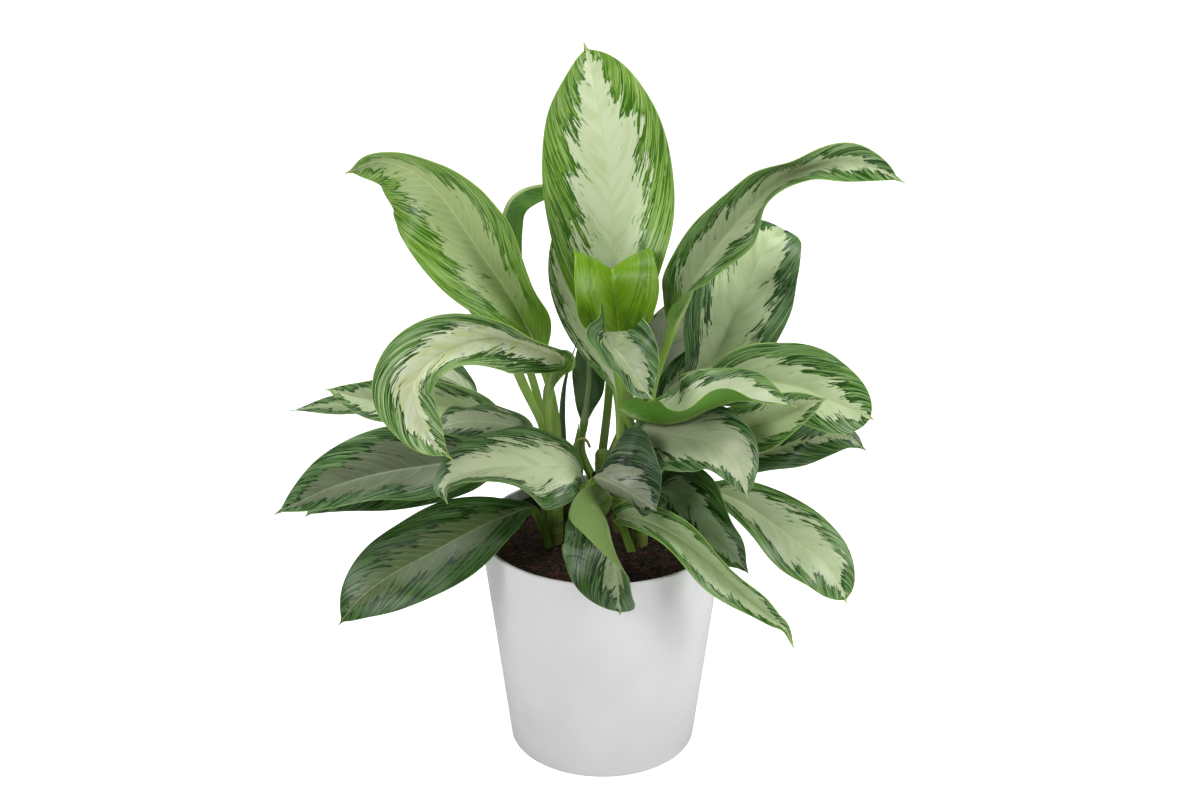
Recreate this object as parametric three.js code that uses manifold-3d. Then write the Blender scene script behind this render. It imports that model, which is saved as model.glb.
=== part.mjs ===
// A potted chinese evergreen, as a three.js scene graph of closed solids.
// Units are millimetres, +Z is up, and the origin is the middle of the pot's flat underside.
// X runs to the right and Y away from the viewer who faces the plant's front.
//
// The plant stands in a thin dark grower pot inside a white tapered pot. Short canes rise from the
// soil, and each leaf is one piece: a channelled stalk that widens into a blade folded along its rib.
import * as THREE from 'three';
import { mergeVertices } from 'three/addons/utils/BufferGeometryUtils.js';
import Module from 'manifold-3d';

// The white pot: a straight taper with a rounded foot and a rounded lip.
const POT_HEIGHT = 240;
const POT_RIM_RADIUS = 125;
const POT_FOOT_RADIUS = 95.3;
const POT_WALL = 3.5;
const POT_FLOOR = 6;
const POT_FOOT_ROUNDING = 5;
const POT_SIDES = 48;

// The grower pot stands on the floor of the white pot.
const LINER_TOP = 229;
const LINER_WALL = 1.2;
const LINER_FLOOR = 1.5;
const LINER_GAP = 1.3;
const LINER_BEAD = 0.7;
const LINER_SHOULDER = 40;

// The soil fills the grower pot and rises a little towards the canes.
const SOIL_EDGE = 221;
const SOIL_MIDDLE = 227;
const SOIL_MOUND_RADIUS = 70;

// Facets round the grower pot and the soil, the same for both so that neither crosses the other.
const INNER_SIDES = 36;

// Clearance kept between two pieces that touch.
const SEAT_GAP = 0.3;

// The canes: where each stands in the soil, and the height of its top.
const CANE_RADIUS = 8;
const CANE_FOOT = 150;
const CANE_SIDES = 8;
const CANE_TIP = 9;
const CANE_JOINT_BULGE = 0.7;
const CANE_JOINT_SHARE = 0.66;
const CANE_PLACES = {
  cane_left: { x: -48, y: -3, top: 300 },
  cane_left_rear: { x: -54, y: 32, top: 289 },
  cane_back_left: { x: -54, y: 76, top: 284 },
  cane_back: { x: 0, y: 74, top: 294 },
  cane_middle: { x: 18, y: 20, top: 329 },
  cane_front: { x: -8, y: -42, top: 276 },
  cane_right: { x: 38, y: -10, top: 329 },
  cane_right_rear: { x: 56, y: 48, top: 326 },
  cane_back_right: { x: 46, y: 82, top: 298 },
};

// The section of a leaf: the blade's thickness, and how deep the midrib and the stalk are under it.
// The stalk's depth is a multiple of its half width, which swells towards the cane.
const BLADE_THICKNESS = 0.7;
const RIB_DEPTH = 1.6;
const RIB_TAPER = 0.65;
const STALK_DEPTH = 1.5;
const STALK_SWELL = 0.25;

// Shares of a blade's length: where the stalk's depth has died out, how far down the stalk the fold
// still shows, and where the rounded outline ends. DRIP_TIP is the width where the drip tip starts, as
// a share of the blade's own, and DRIP_LENGTH is that tip's share of the length.
const STALK_FADE = 0.17;
const FOLD_START = 0.125;
const BLADE_END = 0.975;
const DRIP_TIP = 0.24;
const DRIP_LENGTH = 0.15;
const LEAST_HALF_WIDTH = 0.5;

// How finely the leaves are divided, and how much closer the rows stand at both ends of a blade.
const STALK_STEPS = 4;
const BLADE_STEPS = 10;
const ARC_PIECES = 16;
const CURVE_PIECES = 40;
const END_CROWDING = 0.35;
const SHOOT_STEPS = 2;
const SHOOT_SIDES = 6;

const COLOURS = {
  pot: 0xe9e9e9,
  liner: 0x1c1b1a,
  soil: 0x24170f,
  cane: 0x6f8f3c,
  leaf: 0x8fae79,
  youngLeaf: 0x7ea52c,
  driedStalk: 0x8c8a3f,
};

// The leaves. The path runs from the cane to the tip, and blade is the index of the point where the
// stalk becomes blade. face is the way that the upper side looks, turn rolls it about the rib, and
// taper shapes the outline. wave holds a size, a count and the phase of each margin.
const LEAVES = [
  {
    name: 'leaf_top',
    cane: 'cane_middle',
    path: [
      [18, 20, 325], [21, 41, 366], [20, 45, 406], [14, 55, 467], [10, 60, 518], [7, 66, 568],
      [2, 71, 618], [-4, 76, 656], [-10, 80, 690], [-18, 82, 724],
    ],
    blade: 2, half: 65, stalk: 4, taper: [0.8, 0.6],
    left: [[30, 20], [12, 5], [10, 0], [12, 4], [35, 30]],
    right: [[50, 40], [38, 30], [5, 0], [0, -5], [0, 0]],
    face: [[0, -0.92, 0.4]],
    turn: [0],
    wave: [3, 2.2, 0, 0.5],
  },
  {
    name: 'leaf_young',
    cane: 'cane_middle',
    path: [
      [18, 20, 312], [24, 3, 345], [18, 3, 407], [16, 11, 447], [13, 6, 481], [10, 7, 506],
      [9, 14, 515], [8, 24, 507], [9, 32, 496],
    ],
    blade: 3, half: 48, stalk: 4, taper: [0.62, 0.5],
    left: [[35, 20], [45, 20], [45, 25], [40, 20]],
    right: [[35, 20], [45, 20], [32, 12], [25, 5]],
    face: [[0, -1, 0.1], [0, -1, 0.3], [0, -0.8, 1], [0, 0, 1]],
    turn: [0],
    wave: [0, 2, 0, 0],
    colour: COLOURS.youngLeaf,
  },
  {
    name: 'leaf_nodding',
    cane: 'cane_middle',
    path: [
      [18, 20, 286], [18, 4, 308], [21, -13, 345], [19, -15, 400], [10, -11, 446], [3, -16, 461],
      [3, -34, 467], [9, -53, 461], [17, -68, 458], [28, -80, 446], [38, -90, 434], [48, -96, 424],
    ],
    blade: 5, half: 41, stalk: 4, taper: [0.66, 0.85],
    left: [[0, -10], [36, 26], [42, 34], [20, 0]],
    right: [[70, 75], [74, 76], [64, 60], [50, 47], [46, 43], [43, 40], [40, 36], [30, 18], [20, 0]],
    face: [
      [0, 0.4, 0.9], [0, -0.5, 0.85], [0, -0.8, 0.6], [0, -0.92, 0.4], [0, -0.92, 0.4],
      [0, -0.92, 0.4], [0, -0.92, 0.4],
    ],
    turn: [-10, -25, -25, -10],
    wave: [3, 2.2, 0, 0.5],
  },
  {
    name: 'leaf_behind_top',
    cane: 'cane_middle',
    path: [
      [18, 20, 300], [17, 50, 346], [14, 62, 365], [6, 80, 402], [-3, 92, 441], [-12, 104, 480],
      [-20, 116, 519], [-26, 126, 553],
    ],
    blade: 2, half: 45, stalk: 4, taper: [0.9, 0.7],
    left: [[20, 10], [15, 0], [10, 0]],
    right: [[20, 10], [15, 0], [10, 0]],
    face: [[0, -0.92, 0.4]],
    turn: [0],
    wave: [3, 2.2, 0, 0.5],
  },
  {
    name: 'leaf_left_high',
    cane: 'cane_left',
    path: [
      [-48, -3, 296], [-46, 0, 348], [-52, -2, 393], [-61, -4, 429], [-79, -10, 474], [-97, -16, 511],
      [-115, -20, 541], [-132, -22, 570], [-145, -22, 591], [-163, -16, 611], [-185, -8, 625],
      [-215, 4, 629], [-248, 18, 612],
    ],
    blade: 3, half: 56, stalk: 4, taper: [0.78, 0.72],
    left: [[66, 60], [60, 56], [38, 30], [16, 10], [20, 10]],
    right: [[18, 10], [50, 46], [30, 24], [46, 42], [66, 70]],
    face: [[0, -0.92, 0.4]],
    turn: [-5, -10, -22, -30, -30],
    wave: [3, 2.2, 0, 0.5],
  },
  {
    name: 'leaf_left_folded',
    cane: 'cane_left_rear',
    path: [
      [-54, 32, 285], [-58, 34, 335], [-72, 38, 368], [-84, 40, 394], [-93, 42, 434], [-97, 44, 476],
      [-100, 48, 514], [-99, 52, 544], [-96, 56, 563], [-88, 62, 574], [-74, 72, 579], [-54, 84, 578],
      [-28, 96, 570], [-8, 104, 555],
    ],
    blade: 3, half: 22, stalk: 4, taper: [0.7, 0.7],
    left: [[60, 60], [78, 78], [84, 84], [60, 50], [20, 0]],
    right: [[60, 60], [78, 78], [84, 84], [60, 50], [20, 0]],
    face: [[0.8, 0.5, 0.1], [0.8, 0.5, 0], [0.6, 0.3, -0.8], [0, 0, -1]],
    turn: [0],
    wave: [1, 2.2, 0, 0],
  },
  {
    name: 'leaf_right_high',
    cane: 'cane_right',
    path: [
      [38, -10, 325], [45, -3, 384], [52, -4, 416], [68, 0, 460], [82, 2, 487], [92, 2, 510],
      [105, 0, 535], [123, -4, 562], [142, -10, 588], [162, -16, 610], [184, -22, 626],
      [207, -28, 637], [232, -34, 641], [257, -40, 636], [283, -46, 624],
    ],
    blade: 3, half: 44, stalk: 4, taper: [0.6, 0.8],
    left: [[66, 60], [72, 70], [72, 70], [66, 63], [60, 58], [76, 76], [50, 40], [30, 20]],
    right: [[50, 40], [48, 38], [42, 32], [45, 35], [78, 75], [70, 60], [25, 10], [10, 0]],
    face: [[-1, 0.1, 0.1], [-0.5, -0.7, 0.5], [-0.1, -0.9, 0.45], [0, -0.92, 0.4], [0, -0.92, 0.4]],
    turn: [0],
    wave: [3, 2.2, 0, 0.5],
  },
  {
    name: 'leaf_right_upright',
    cane: 'cane_right_rear',
    path: [
      [56, 48, 314], [54, 40, 336], [78, 52, 363], [103, 58, 388], [117, 60, 410], [136, 58, 459],
      [147, 64, 485], [159, 70, 510], [169, 80, 524], [178, 94, 528], [188, 108, 520],
    ],
    blade: 2, half: 53, stalk: 4, taper: [0.75, 0.65],
    left: [[55, 50], [45, 35], [25, 10], [10, -10]],
    right: [[30, 20], [18, 5], [10, 0], [10, -10]],
    face: [[0, -1, 0.4], [0, -0.8, 0.6], [0, -0.6, 0.8], [0.3, 0.2, 0.9]],
    turn: [0],
    wave: [3, 2.2, 0, 0.5],
  },
  {
    name: 'leaf_right_inner_1',
    cane: 'cane_back_right',
    path: [
      [46, 82, 266], [42, 98, 321], [48, 100, 354], [58, 104, 385], [74, 108, 412], [92, 112, 423],
      [115, 116, 420],
    ],
    blade: 2, half: 27, stalk: 4, taper: [0.8, 0.6],
    left: [[20, 10], [15, 0]],
    right: [[15, 0], [15, 0]],
    face: [[0, -0.92, 0.4]],
    turn: [0],
    wave: [3, 2.2, 0, 0.5],
  },
  {
    name: 'leaf_right_inner_2',
    cane: 'cane_right_rear',
    path: [
      [56, 48, 286], [47, 62, 326], [56, 64, 350], [75, 68, 371], [93, 72, 387], [110, 76, 401],
      [126, 80, 413],
    ],
    blade: 2, half: 19, stalk: 4, taper: [0.62, 0.7],
    left: [[15, 0], [15, 0]],
    right: [[15, 0], [15, 0]],
    face: [[0, -0.92, 0.4]],
    turn: [0],
    wave: [3, 2.2, 0, 0.5],
  },
  {
    name: 'leaf_right_rolled',
    cane: 'cane_right',
    path: [
      [38, -10, 290], [36, -16, 335], [29, -24, 366], [22, -31, 386], [30, -42, 384], [52, -54, 381],
      [77, -64, 388], [102, -72, 404], [129, -80, 416], [158, -88, 418], [185, -94, 416],
    ],
    blade: 3, half: 42, stalk: 4, taper: [0.6, 0.7],
    left: [[20, 40], [42, 50], [45, 52], [38, 42], [20, 10]],
    right: [[62, 60], [50, 52], [38, 40], [34, 34], [24, 20]],
    face: [[0.1, 0.5, 0.85], [0.4, -0.1, 0.9], [0.1, -0.1, 1], [0, 0, 1], [0, 0, 1]],
    turn: [0],
    wave: [6, 2.9, -0.055, 0.3],
  },
  {
    name: 'leaf_right_wide',
    cane: 'cane_right_rear',
    path: [
      [56, 48, 292], [74, 34, 350], [98, 30, 370], [123, 24, 387], [147, 18, 396], [173, 12, 395],
      [196, 8, 392], [219, 3, 383], [245, -1, 373], [271, -5, 362],
    ],
    blade: 2, half: 44, stalk: 4, taper: [0.75, 0.55],
    left: [[40, 30], [40, 30], [25, 10], [10, 0]],
    right: [[40, 30], [35, 25], [35, 25], [10, 0]],
    face: [[0, -0.92, 0.4]],
    turn: [-5, -10, -10, -5],
    wave: [3, 2.2, 0, 0.5],
  },
  {
    name: 'leaf_right_behind_wide',
    cane: 'cane_right_rear',
    path: [
      [56, 48, 268], [90, 82, 343], [121, 88, 367], [152, 92, 378], [183, 95, 383], [209, 98, 386],
      [231, 100, 388],
    ],
    blade: 2, half: 19, stalk: 4, taper: [0.62, 0.85],
    left: [[15, 5], [15, 0]],
    right: [[15, 0], [10, -10]],
    face: [[0, -0.92, 0.4]],
    turn: [0],
    wave: [3, 2.2, 0, 0.5],
  },
  {
    name: 'leaf_right_mid',
    cane: 'cane_right',
    path: [
      [38, -10, 300], [70, -2, 331], [97, -12, 346], [126, -26, 359], [151, -40, 373], [175, -54, 390],
      [196, -64, 404], [216, -72, 415],
    ],
    blade: 2, half: 34, stalk: 4, taper: [0.62, 0.85],
    left: [[50, 40], [46, 36], [30, 10]],
    right: [[50, 45], [50, 40], [30, 10]],
    face: [[0, -0.92, 0.4]],
    turn: [5, 5, 0],
    wave: [3, 2.2, 0, 0.5],
  },
  {
    name: 'leaf_right_narrow',
    cane: 'cane_right_rear',
    path: [
      [56, 48, 258], [80, 62, 277], [112, 70, 280], [148, 74, 284], [184, 76, 293], [210, 78, 300],
      [236, 80, 304], [257, 82, 301], [275, 84, 287],
    ],
    blade: 2, half: 28, stalk: 4, taper: [0.62, 0.85],
    left: [[50, 40], [55, 45], [50, 40], [20, 0], [-5, -40]],
    right: [[50, 40], [55, 45], [45, 35], [20, 0], [5, 60]],
    face: [[0, -0.92, 0.4]],
    turn: [5, 5, 5, 0, 0],
    wave: [3, 2.2, 0, 0.5],
  },
  {
    name: 'leaf_right_broad',
    cane: 'cane_right',
    path: [
      [38, -10, 262], [25, -32, 308], [33, -43, 348], [52, -50, 369], [77, -70, 374], [102, -90, 377],
      [119, -105, 374], [131, -118, 361], [139, -125, 333],
    ],
    blade: 2, half: 42, stalk: 4, taper: [0.62, 0.85],
    left: [[0, -15], [5, -10], [10, 0], [10, -10]],
    right: [[-50, -65], [0, -14], [14, 0], [10, -20]],
    face: [[0, -0.6, 0.9], [0, -0.6, 0.8], [0.3, -0.8, 0.5]],
    turn: [0],
    wave: [3, 2.2, 0, 0.5],
  },
  {
    name: 'leaf_front_short',
    cane: 'cane_front',
    path: [
      [-8, -42, 262], [5, -47, 296], [-12, -64, 319], [-9, -84, 337], [4, -96, 339], [19, -103, 334],
      [36, -110, 326], [52, -118, 317],
    ],
    blade: 3, half: 60, stalk: 4, taper: [0.3, 0.75], columns: 9,
    left: [[5, 5], [10, 12], [24, 28], [14, 10]],
    right: [[-45, -240], [-45, -235], [-35, -195], [-20, -50]],
    face: [[0, -0.6, 0.8], [0, -0.75, 0.65], [0, -0.8, 0.6]],
    turn: [0],
    wave: [3, 2.2, 0, 0.5],
  },
  {
    name: 'leaf_front_left',
    cane: 'cane_front',
    path: [
      [-8, -42, 248], [-15, -47, 292], [-20, -59, 323], [-30, -70, 341], [-51, -84, 349],
      [-75, -98, 355], [-98, -110, 360], [-121, -120, 361], [-140, -127, 357], [-151, -131, 347],
      [-148, -134, 332],
    ],
    blade: 2, half: 46, stalk: 4, taper: [0.62, 0.85],
    left: [[0, -20], [-20, -50], [10, 5], [45, 40], [60, 60]],
    right: [[25, 15], [20, 5], [15, 0], [10, 0], [5, -10]],
    face: [[0, -0.4, 0.9], [0, -0.45, 0.9], [-0.2, -0.7, 0.7]],
    turn: [0],
    wave: [3, 2.2, 0, 0.5],
  },
  {
    name: 'leaf_left_arching',
    cane: 'cane_left',
    path: [
      [-48, -3, 278], [-48, -24, 332], [-51, -26, 369], [-52, -24, 401], [-46, -26, 423],
      [-42, -32, 438], [-55, -42, 450], [-79, -54, 465], [-103, -66, 475], [-130, -80, 476],
      [-156, -94, 469], [-172, -104, 457], [-180, -112, 440], [-175, -118, 421], [-162, -122, 394],
      [-142, -126, 375],
    ],
    blade: 3, half: 45, stalk: 4, taper: [1.1, 0.8], steps: 14,
    left: [[60, 50], [45, 32], [45, 35], [55, 47], [50, 40], [30, 10]],
    right: [[60, 60], [76, 74], [76, 72], [58, 46], [26, 20], [50, 45]],
    face: [
      [1, -0.1, 0.1], [0.1, -0.9, 0.4], [0, -0.92, 0.4], [-0.1, -0.9, 0.4], [-0.1, -0.9, 0.4],
      [-0.1, -0.9, 0.3],
    ],
    turn: [0, 0, 0, 5, 5, 5],
    wave: [3, 2.2, 0, 0.5],
  },
  {
    name: 'leaf_left_mid_1',
    cane: 'cane_left_rear',
    path: [
      [-54, 32, 273], [-77, 50, 305], [-100, 54, 324], [-126, 58, 338], [-167, 62, 347],
      [-208, 64, 351], [-249, 66, 355], [-285, 68, 364],
    ],
    blade: 2, half: 33, stalk: 4, taper: [0.62, 0.85],
    left: [[50, 40], [50, 35], [20, 5]],
    right: [[45, 30], [40, 30], [25, 5]],
    face: [[0, -0.92, 0.4]],
    turn: [0],
    wave: [3, 2.2, 0, 0.5],
  },
  {
    name: 'leaf_left_mid_2',
    cane: 'cane_back_left',
    path: [
      [-54, 76, 262], [-86, 90, 307], [-117, 98, 320], [-159, 104, 326], [-201, 110, 326],
      [-244, 114, 325], [-286, 118, 323], [-330, 120, 316],
    ],
    blade: 2, half: 25, stalk: 4, taper: [0.62, 0.85],
    left: [[10, 0], [10, 0], [5, 0]],
    right: [[10, 0], [10, 0], [5, 0]],
    face: [[0, -0.15, 1]],
    turn: [0],
    wave: [3, 2.2, 0, 0.5],
  },
  {
    name: 'leaf_left_short',
    cane: 'cane_left',
    path: [
      [-48, -3, 261], [-63, -9, 318], [-69, -15, 343], [-82, -20, 359], [-101, -32, 370],
      [-120, -44, 378], [-137, -54, 382], [-152, -62, 381], [-166, -66, 375],
    ],
    blade: 2, half: 34, stalk: 4, taper: [0.62, 0.85],
    left: [[10, -20], [10, -30], [10, -10]],
    right: [[10, -10], [10, -20], [10, 0]],
    face: [[0, -0.4, 0.9], [0, -0.3, 1], [-0.2, -0.5, 0.9]],
    turn: [0],
    wave: [3, 2.2, 0, 0.5],
  },
  {
    name: 'leaf_left_low_1',
    cane: 'cane_left',
    path: [
      [-48, -3, 230], [-73, 5, 296], [-103, 0, 312], [-138, -10, 319], [-178, -22, 319],
      [-219, -34, 317], [-263, -46, 309], [-294, -54, 298], [-325, -60, 284],
    ],
    blade: 2, half: 45, stalk: 4, taper: [0.85, 0.95],
    left: [[30, 15], [30, 15], [35, 25], [40, 35]],
    right: [[30, 20], [27, 20], [27, 20], [20, 15]],
    face: [[0, -0.92, 0.4]],
    turn: [15, 22, 25, 15],
    wave: [3, 2.2, 0, 0.5],
  },
  {
    name: 'leaf_left_low_2',
    cane: 'cane_left_rear',
    path: [
      [-54, 32, 236], [-69, 18, 298], [-99, 22, 307], [-140, 24, 306], [-180, 18, 305],
      [-218, 12, 298], [-256, 6, 286], [-282, 2, 271], [-303, 0, 251],
    ],
    blade: 2, half: 44, stalk: 4, taper: [0.62, 0.85],
    left: [[10, 0], [10, 0], [10, 0]],
    right: [[15, 5], [15, 0], [10, 0]],
    face: [[0, -0.92, 0.4]],
    turn: [0],
    wave: [3, 2.2, 0, 0.5],
  },
  {
    name: 'leaf_left_lowest',
    path: [
      [-53, -16, 219], [-60, -24, 251], [-71, -32, 277], [-97, -48, 276], [-124, -62, 270],
      [-167, -82, 254], [-210, -100, 236], [-239, -110, 216], [-260, -116, 190],
    ],
    blade: 2, half: 45, stalk: 4, taper: [0.85, 0.8],
    left: [[20, 5], [10, -5], [10, -10], [10, -5]],
    right: [[25, 10], [15, 5], [15, 0], [10, 0]],
    face: [[0, -0.5, 0.9], [-0.1, -0.6, 0.8], [-0.2, -0.7, 0.7]],
    turn: [0],
    wave: [3, 2.2, 0, 0.5],
  },
  {
    name: 'leaf_front_hanging',
    cane: 'cane_front',
    path: [
      [-8, -42, 232], [-14, -50, 264], [-10, -64, 291], [-4, -84, 297], [3, -104, 297], [8, -126, 284],
      [12, -135, 262], [15, -140, 237], [17, -141, 216],
    ],
    blade: 2, half: 50, stalk: 4, taper: [0.6, 0.62], columns: 13, curl: 0.45,
    left: [[20, 40], [60, 186], [55, 182], [60, 90], [68, 72], [40, 30]],
    right: [[0, -10], [-15, -28], [-12, -20], [0, -5], [0, 0]],
    face: [[0.1, 0.5, 0.85], [0, -0.8, 0.5], [0, -1, 0.2]],
    turn: [0],
    wave: [3, 2.2, 0, 0.5],
  },
  {
    name: 'leaf_right_low_1',
    path: [
      [32, -26, 216], [21, -36, 255], [14, -50, 277], [29, -64, 284], [48, -78, 284], [72, -92, 277],
      [95, -104, 264], [118, -114, 247], [142, -120, 224], [165, -124, 202], [178, -126, 193],
      [188, -126, 171],
    ],
    blade: 2, half: 31, stalk: 4, taper: [0.62, 1.1],
    left: [[34, 28], [46, 44], [58, 58], [62, 60], [50, 40], [10, 0]],
    right: [[74, 70], [78, 74], [64, 54], [42, 34], [46, 44], [60, 60]],
    face: [[0, -0.92, 0.4]],
    turn: [6, 6, 6, 0, 0],
    wave: [3, 2.2, 0, 0.5],
  },
  {
    name: 'leaf_right_low_2',
    cane: 'cane_right',
    path: [
      [38, -10, 240], [53, -24, 274], [57, -34, 296], [71, -44, 302], [86, -58, 296], [102, -70, 283],
      [117, -80, 266], [132, -87, 249], [144, -90, 234],
    ],
    blade: 2, half: 42, stalk: 4, taper: [0.62, 1.1],
    left: [[34, 22], [24, 14], [28, 18], [20, 10]],
    right: [[30, 10], [30, 10], [30, 0], [10, 0]],
    face: [[-0.5, 0.2, 0.8], [0, -0.92, 0.4], [0, -0.92, 0.4]],
    turn: [25, 28, 28, 10],
    wave: [3, 2.2, 0, 0.5],
  },
  {
    name: 'leaf_right_low_3',
    cane: 'cane_right',
    path: [
      [38, -10, 236], [71, 15, 263], [99, 8, 278], [132, -2, 274], [165, -14, 257], [198, -26, 235],
      [224, -34, 216], [240, -38, 192], [248, -40, 173],
    ],
    blade: 2, half: 36, stalk: 4, taper: [0.85, 0.6],
    left: [[30, 20], [30, 20], [20, 0], [10, 0]],
    right: [[30, 20], [25, 15], [15, 0], [5, 0]],
    face: [[0, -0.6, 0.8], [0.2, -0.8, 0.7], [0.3, -0.8, 0.5]],
    turn: [0],
    wave: [3, 2.2, 0, 0.5],
  },
  {
    name: 'leaf_inner_small',
    cane: 'cane_back',
    path: [
      [0, 74, 240], [-22, 70, 294], [-19, 76, 323], [-16, 84, 344], [-14, 94, 360], [-14, 106, 377],
      [-17, 120, 402],
    ],
    blade: 2, half: 18, stalk: 4, taper: [0.8, 0.6],
    left: [[30, 20], [20, 5]],
    right: [[30, 20], [20, 5]],
    face: [[0, 1, 0.2], [0, 1, 0.3]],
    turn: [0],
    wave: [3, 2.2, 0, 0.5],
  },
  {
    name: 'leaf_back_top',
    cane: 'cane_back',
    path: [
      [0, 74, 290], [6, 84, 344], [9, 104, 403], [10, 130, 470], [10, 158, 531], [9, 186, 581],
      [8, 206, 609],
    ],
    blade: 2, half: 44, stalk: 4, taper: [0.75, 0.7], steps: 8,
    left: [[25, 10], [20, 5], [10, -5]],
    right: [[25, 10], [20, 5], [10, -5]],
    face: [[0, -0.9, 0.5], [0, -0.8, 0.7]],
    turn: [0],
    wave: [3, 2.2, 0, 0.5],
  },
  {
    name: 'leaf_back_left_high',
    cane: 'cane_back_left',
    path: [
      [-54, 76, 280], [-65, 84, 338], [-81, 100, 388], [-109, 122, 440], [-139, 144, 487],
      [-170, 164, 524], [-194, 178, 541],
    ],
    blade: 2, half: 34, stalk: 4, taper: [0.75, 0.8], steps: 8,
    left: [[25, 10], [20, 5], [10, 0]],
    right: [[25, 10], [20, 5], [10, 0]],
    face: [[0, -0.92, 0.4]],
    turn: [0],
    wave: [3, 2.2, 0, 0.5],
  },
  {
    name: 'leaf_back_right_high',
    cane: 'cane_back_right',
    path: [
      [46, 82, 292], [72, 94, 340], [97, 112, 383], [124, 132, 420], [148, 152, 451], [167, 168, 469],
    ],
    blade: 2, half: 33, stalk: 4, taper: [0.75, 0.8], steps: 8,
    left: [[25, 10], [20, 5], [10, -5]],
    right: [[25, 10], [20, 5], [10, -5]],
    face: [[0, -0.8, 0.6]],
    turn: [0],
    wave: [3, 2.2, 0, 0.5],
  },
  {
    name: 'leaf_back_left_mid',
    cane: 'cane_back_left',
    path: [
      [-54, 76, 247], [-93, 125, 291], [-135, 150, 321], [-182, 172, 338], [-223, 190, 335],
      [-246, 200, 319],
    ],
    blade: 2, half: 30, stalk: 4, taper: [0.7, 0.8], steps: 8,
    left: [[25, 10], [20, 5], [10, -5]],
    right: [[25, 10], [20, 5], [10, -5]],
    face: [[-0.2, 0.1, 1]],
    turn: [0],
    wave: [3, 2.2, 0, 0.5],
  },
  {
    name: 'leaf_back_right_mid',
    cane: 'cane_back_right',
    path: [[46, 82, 256], [103, 125, 309], [148, 150, 324], [195, 172, 326], [233, 190, 311]],
    blade: 2, half: 28, stalk: 4, taper: [0.7, 0.8], steps: 8,
    left: [[25, 10], [20, 5], [10, -5]],
    right: [[25, 10], [20, 5], [10, -5]],
    face: [[0.2, 0.1, 1]],
    turn: [0],
    wave: [3, 2.2, 0, 0.5],
  },
  {
    name: 'leaf_back_middle',
    cane: 'cane_back',
    path: [
      [0, 74, 270], [27, 125, 320], [30, 160, 343], [34, 200, 349], [37, 240, 339], [39, 275, 316],
    ],
    blade: 2, half: 36, stalk: 4, taper: [0.7, 0.8], steps: 8,
    left: [[25, 10], [20, 5], [10, -5]],
    right: [[25, 10], [20, 5], [10, -5]],
    face: [[0, 0.5, 0.9]],
    turn: [0],
    wave: [3, 2.2, 0, 0.5],
  },
  {
    name: 'leaf_back_left_low',
    cane: 'cane_back_left',
    path: [
      [-54, 76, 236], [-92, 100, 254], [-141, 130, 251], [-192, 158, 233], [-234, 180, 208],
      [-265, 195, 184],
    ],
    blade: 2, half: 30, stalk: 4, taper: [0.7, 0.8], steps: 8,
    left: [[25, 10], [20, 5], [10, -5]],
    right: [[25, 10], [20, 5], [10, -5]],
    face: [[-0.2, 0.2, 1]],
    turn: [0],
    wave: [3, 2.2, 0, 0.5],
  },
  {
    name: 'leaf_back_right_low',
    cane: 'cane_back_right',
    path: [[46, 82, 240], [74, 110, 257], [105, 142, 254], [130, 175, 235], [147, 205, 206]],
    blade: 2, half: 27, stalk: 4, taper: [0.7, 0.8], steps: 8,
    left: [[25, 10], [20, 5], [10, -5]],
    right: [[25, 10], [20, 5], [10, -5]],
    face: [[0.2, 0.4, 1]],
    turn: [0],
    wave: [3, 2.2, 0, 0.5],
  },
];

// The small shoots between the canes, each with its points and a radius at equal steps along them.
// Each one's foot stands in the soil.
const SHOOTS = [
  {
    name: 'spear_dark',
    path: [
      [-38, 44, 206], [-40, 44, 272], [-40, 44, 311], [-41, 44, 345], [-39, 44, 375], [-34, 44, 399],
      [-26, 46, 424],
    ],
    radii: [3.6, 3.6, 3.5, 3.3, 3, 1.6, 0.5],
    colour: COLOURS.cane,
  },
  {
    name: 'spear_green',
    path: [[-30, 17, 206], [-30, 18, 252], [-29, 20, 295], [-27, 20, 323], [-24, 20, 346]],
    radii: [2.2, 2.4, 3, 3, 0.5],
    colour: COLOURS.cane,
  },
  {
    name: 'stalk_hooked',
    path: [
      [-30, 4, 206], [-30, 4, 255], [-31, 6, 296], [-30, 6, 321], [-26, 6, 332], [-21, 6, 336],
      [-16, 6, 334], [-13, 6, 327],
    ],
    radii: [1.8, 1.8, 1.8, 1.8, 1.8, 1.8, 2, 1.4],
    colour: COLOURS.driedStalk,
  },
  {
    name: 'bud_brown',
    path: [
      [-48, 57, 206], [-48, 57, 242], [-49, 57, 288], [-49, 57, 328], [-51, 57, 347], [-53, 57, 361],
    ],
    radii: [1.5, 1.5, 1.5, 2, 3.6, 0.6],
    colour: COLOURS.driedStalk,
  },
];

const wasm = await Module();
wasm.setup();

// A closed manifold solid from a geometry whose shared vertices may be split.
function solidFrom(geometry) {
  const bare = geometry.clone();
  bare.deleteAttribute('normal');
  bare.deleteAttribute('uv');
  const merged = mergeVertices(bare, 1e-4);
  return new wasm.Manifold(
    new wasm.Mesh({
      numProp: 3,
      vertProperties: Float32Array.from(merged.attributes.position.array),
      triVerts: Uint32Array.from(merged.index.array),
    }),
  );
}

// The geometry of a solid, for a mesh of the scene graph.
function geometryFrom(solid) {
  const mesh = solid.getMesh();
  const stride = mesh.numProp;
  const positions = new Float32Array(mesh.numVert * 3);
  for (let i = 0; i < mesh.numVert; i += 1) {
    positions.set(mesh.vertProperties.subarray(i * stride, i * stride + 3), i * 3);
  }
  const geometry = new THREE.BufferGeometry();
  geometry.setAttribute('position', new THREE.BufferAttribute(positions, 3));
  geometry.setIndex(new THREE.BufferAttribute(Uint32Array.from(mesh.triVerts), 1));
  geometry.computeVertexNormals();
  return geometry;
}

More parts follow.
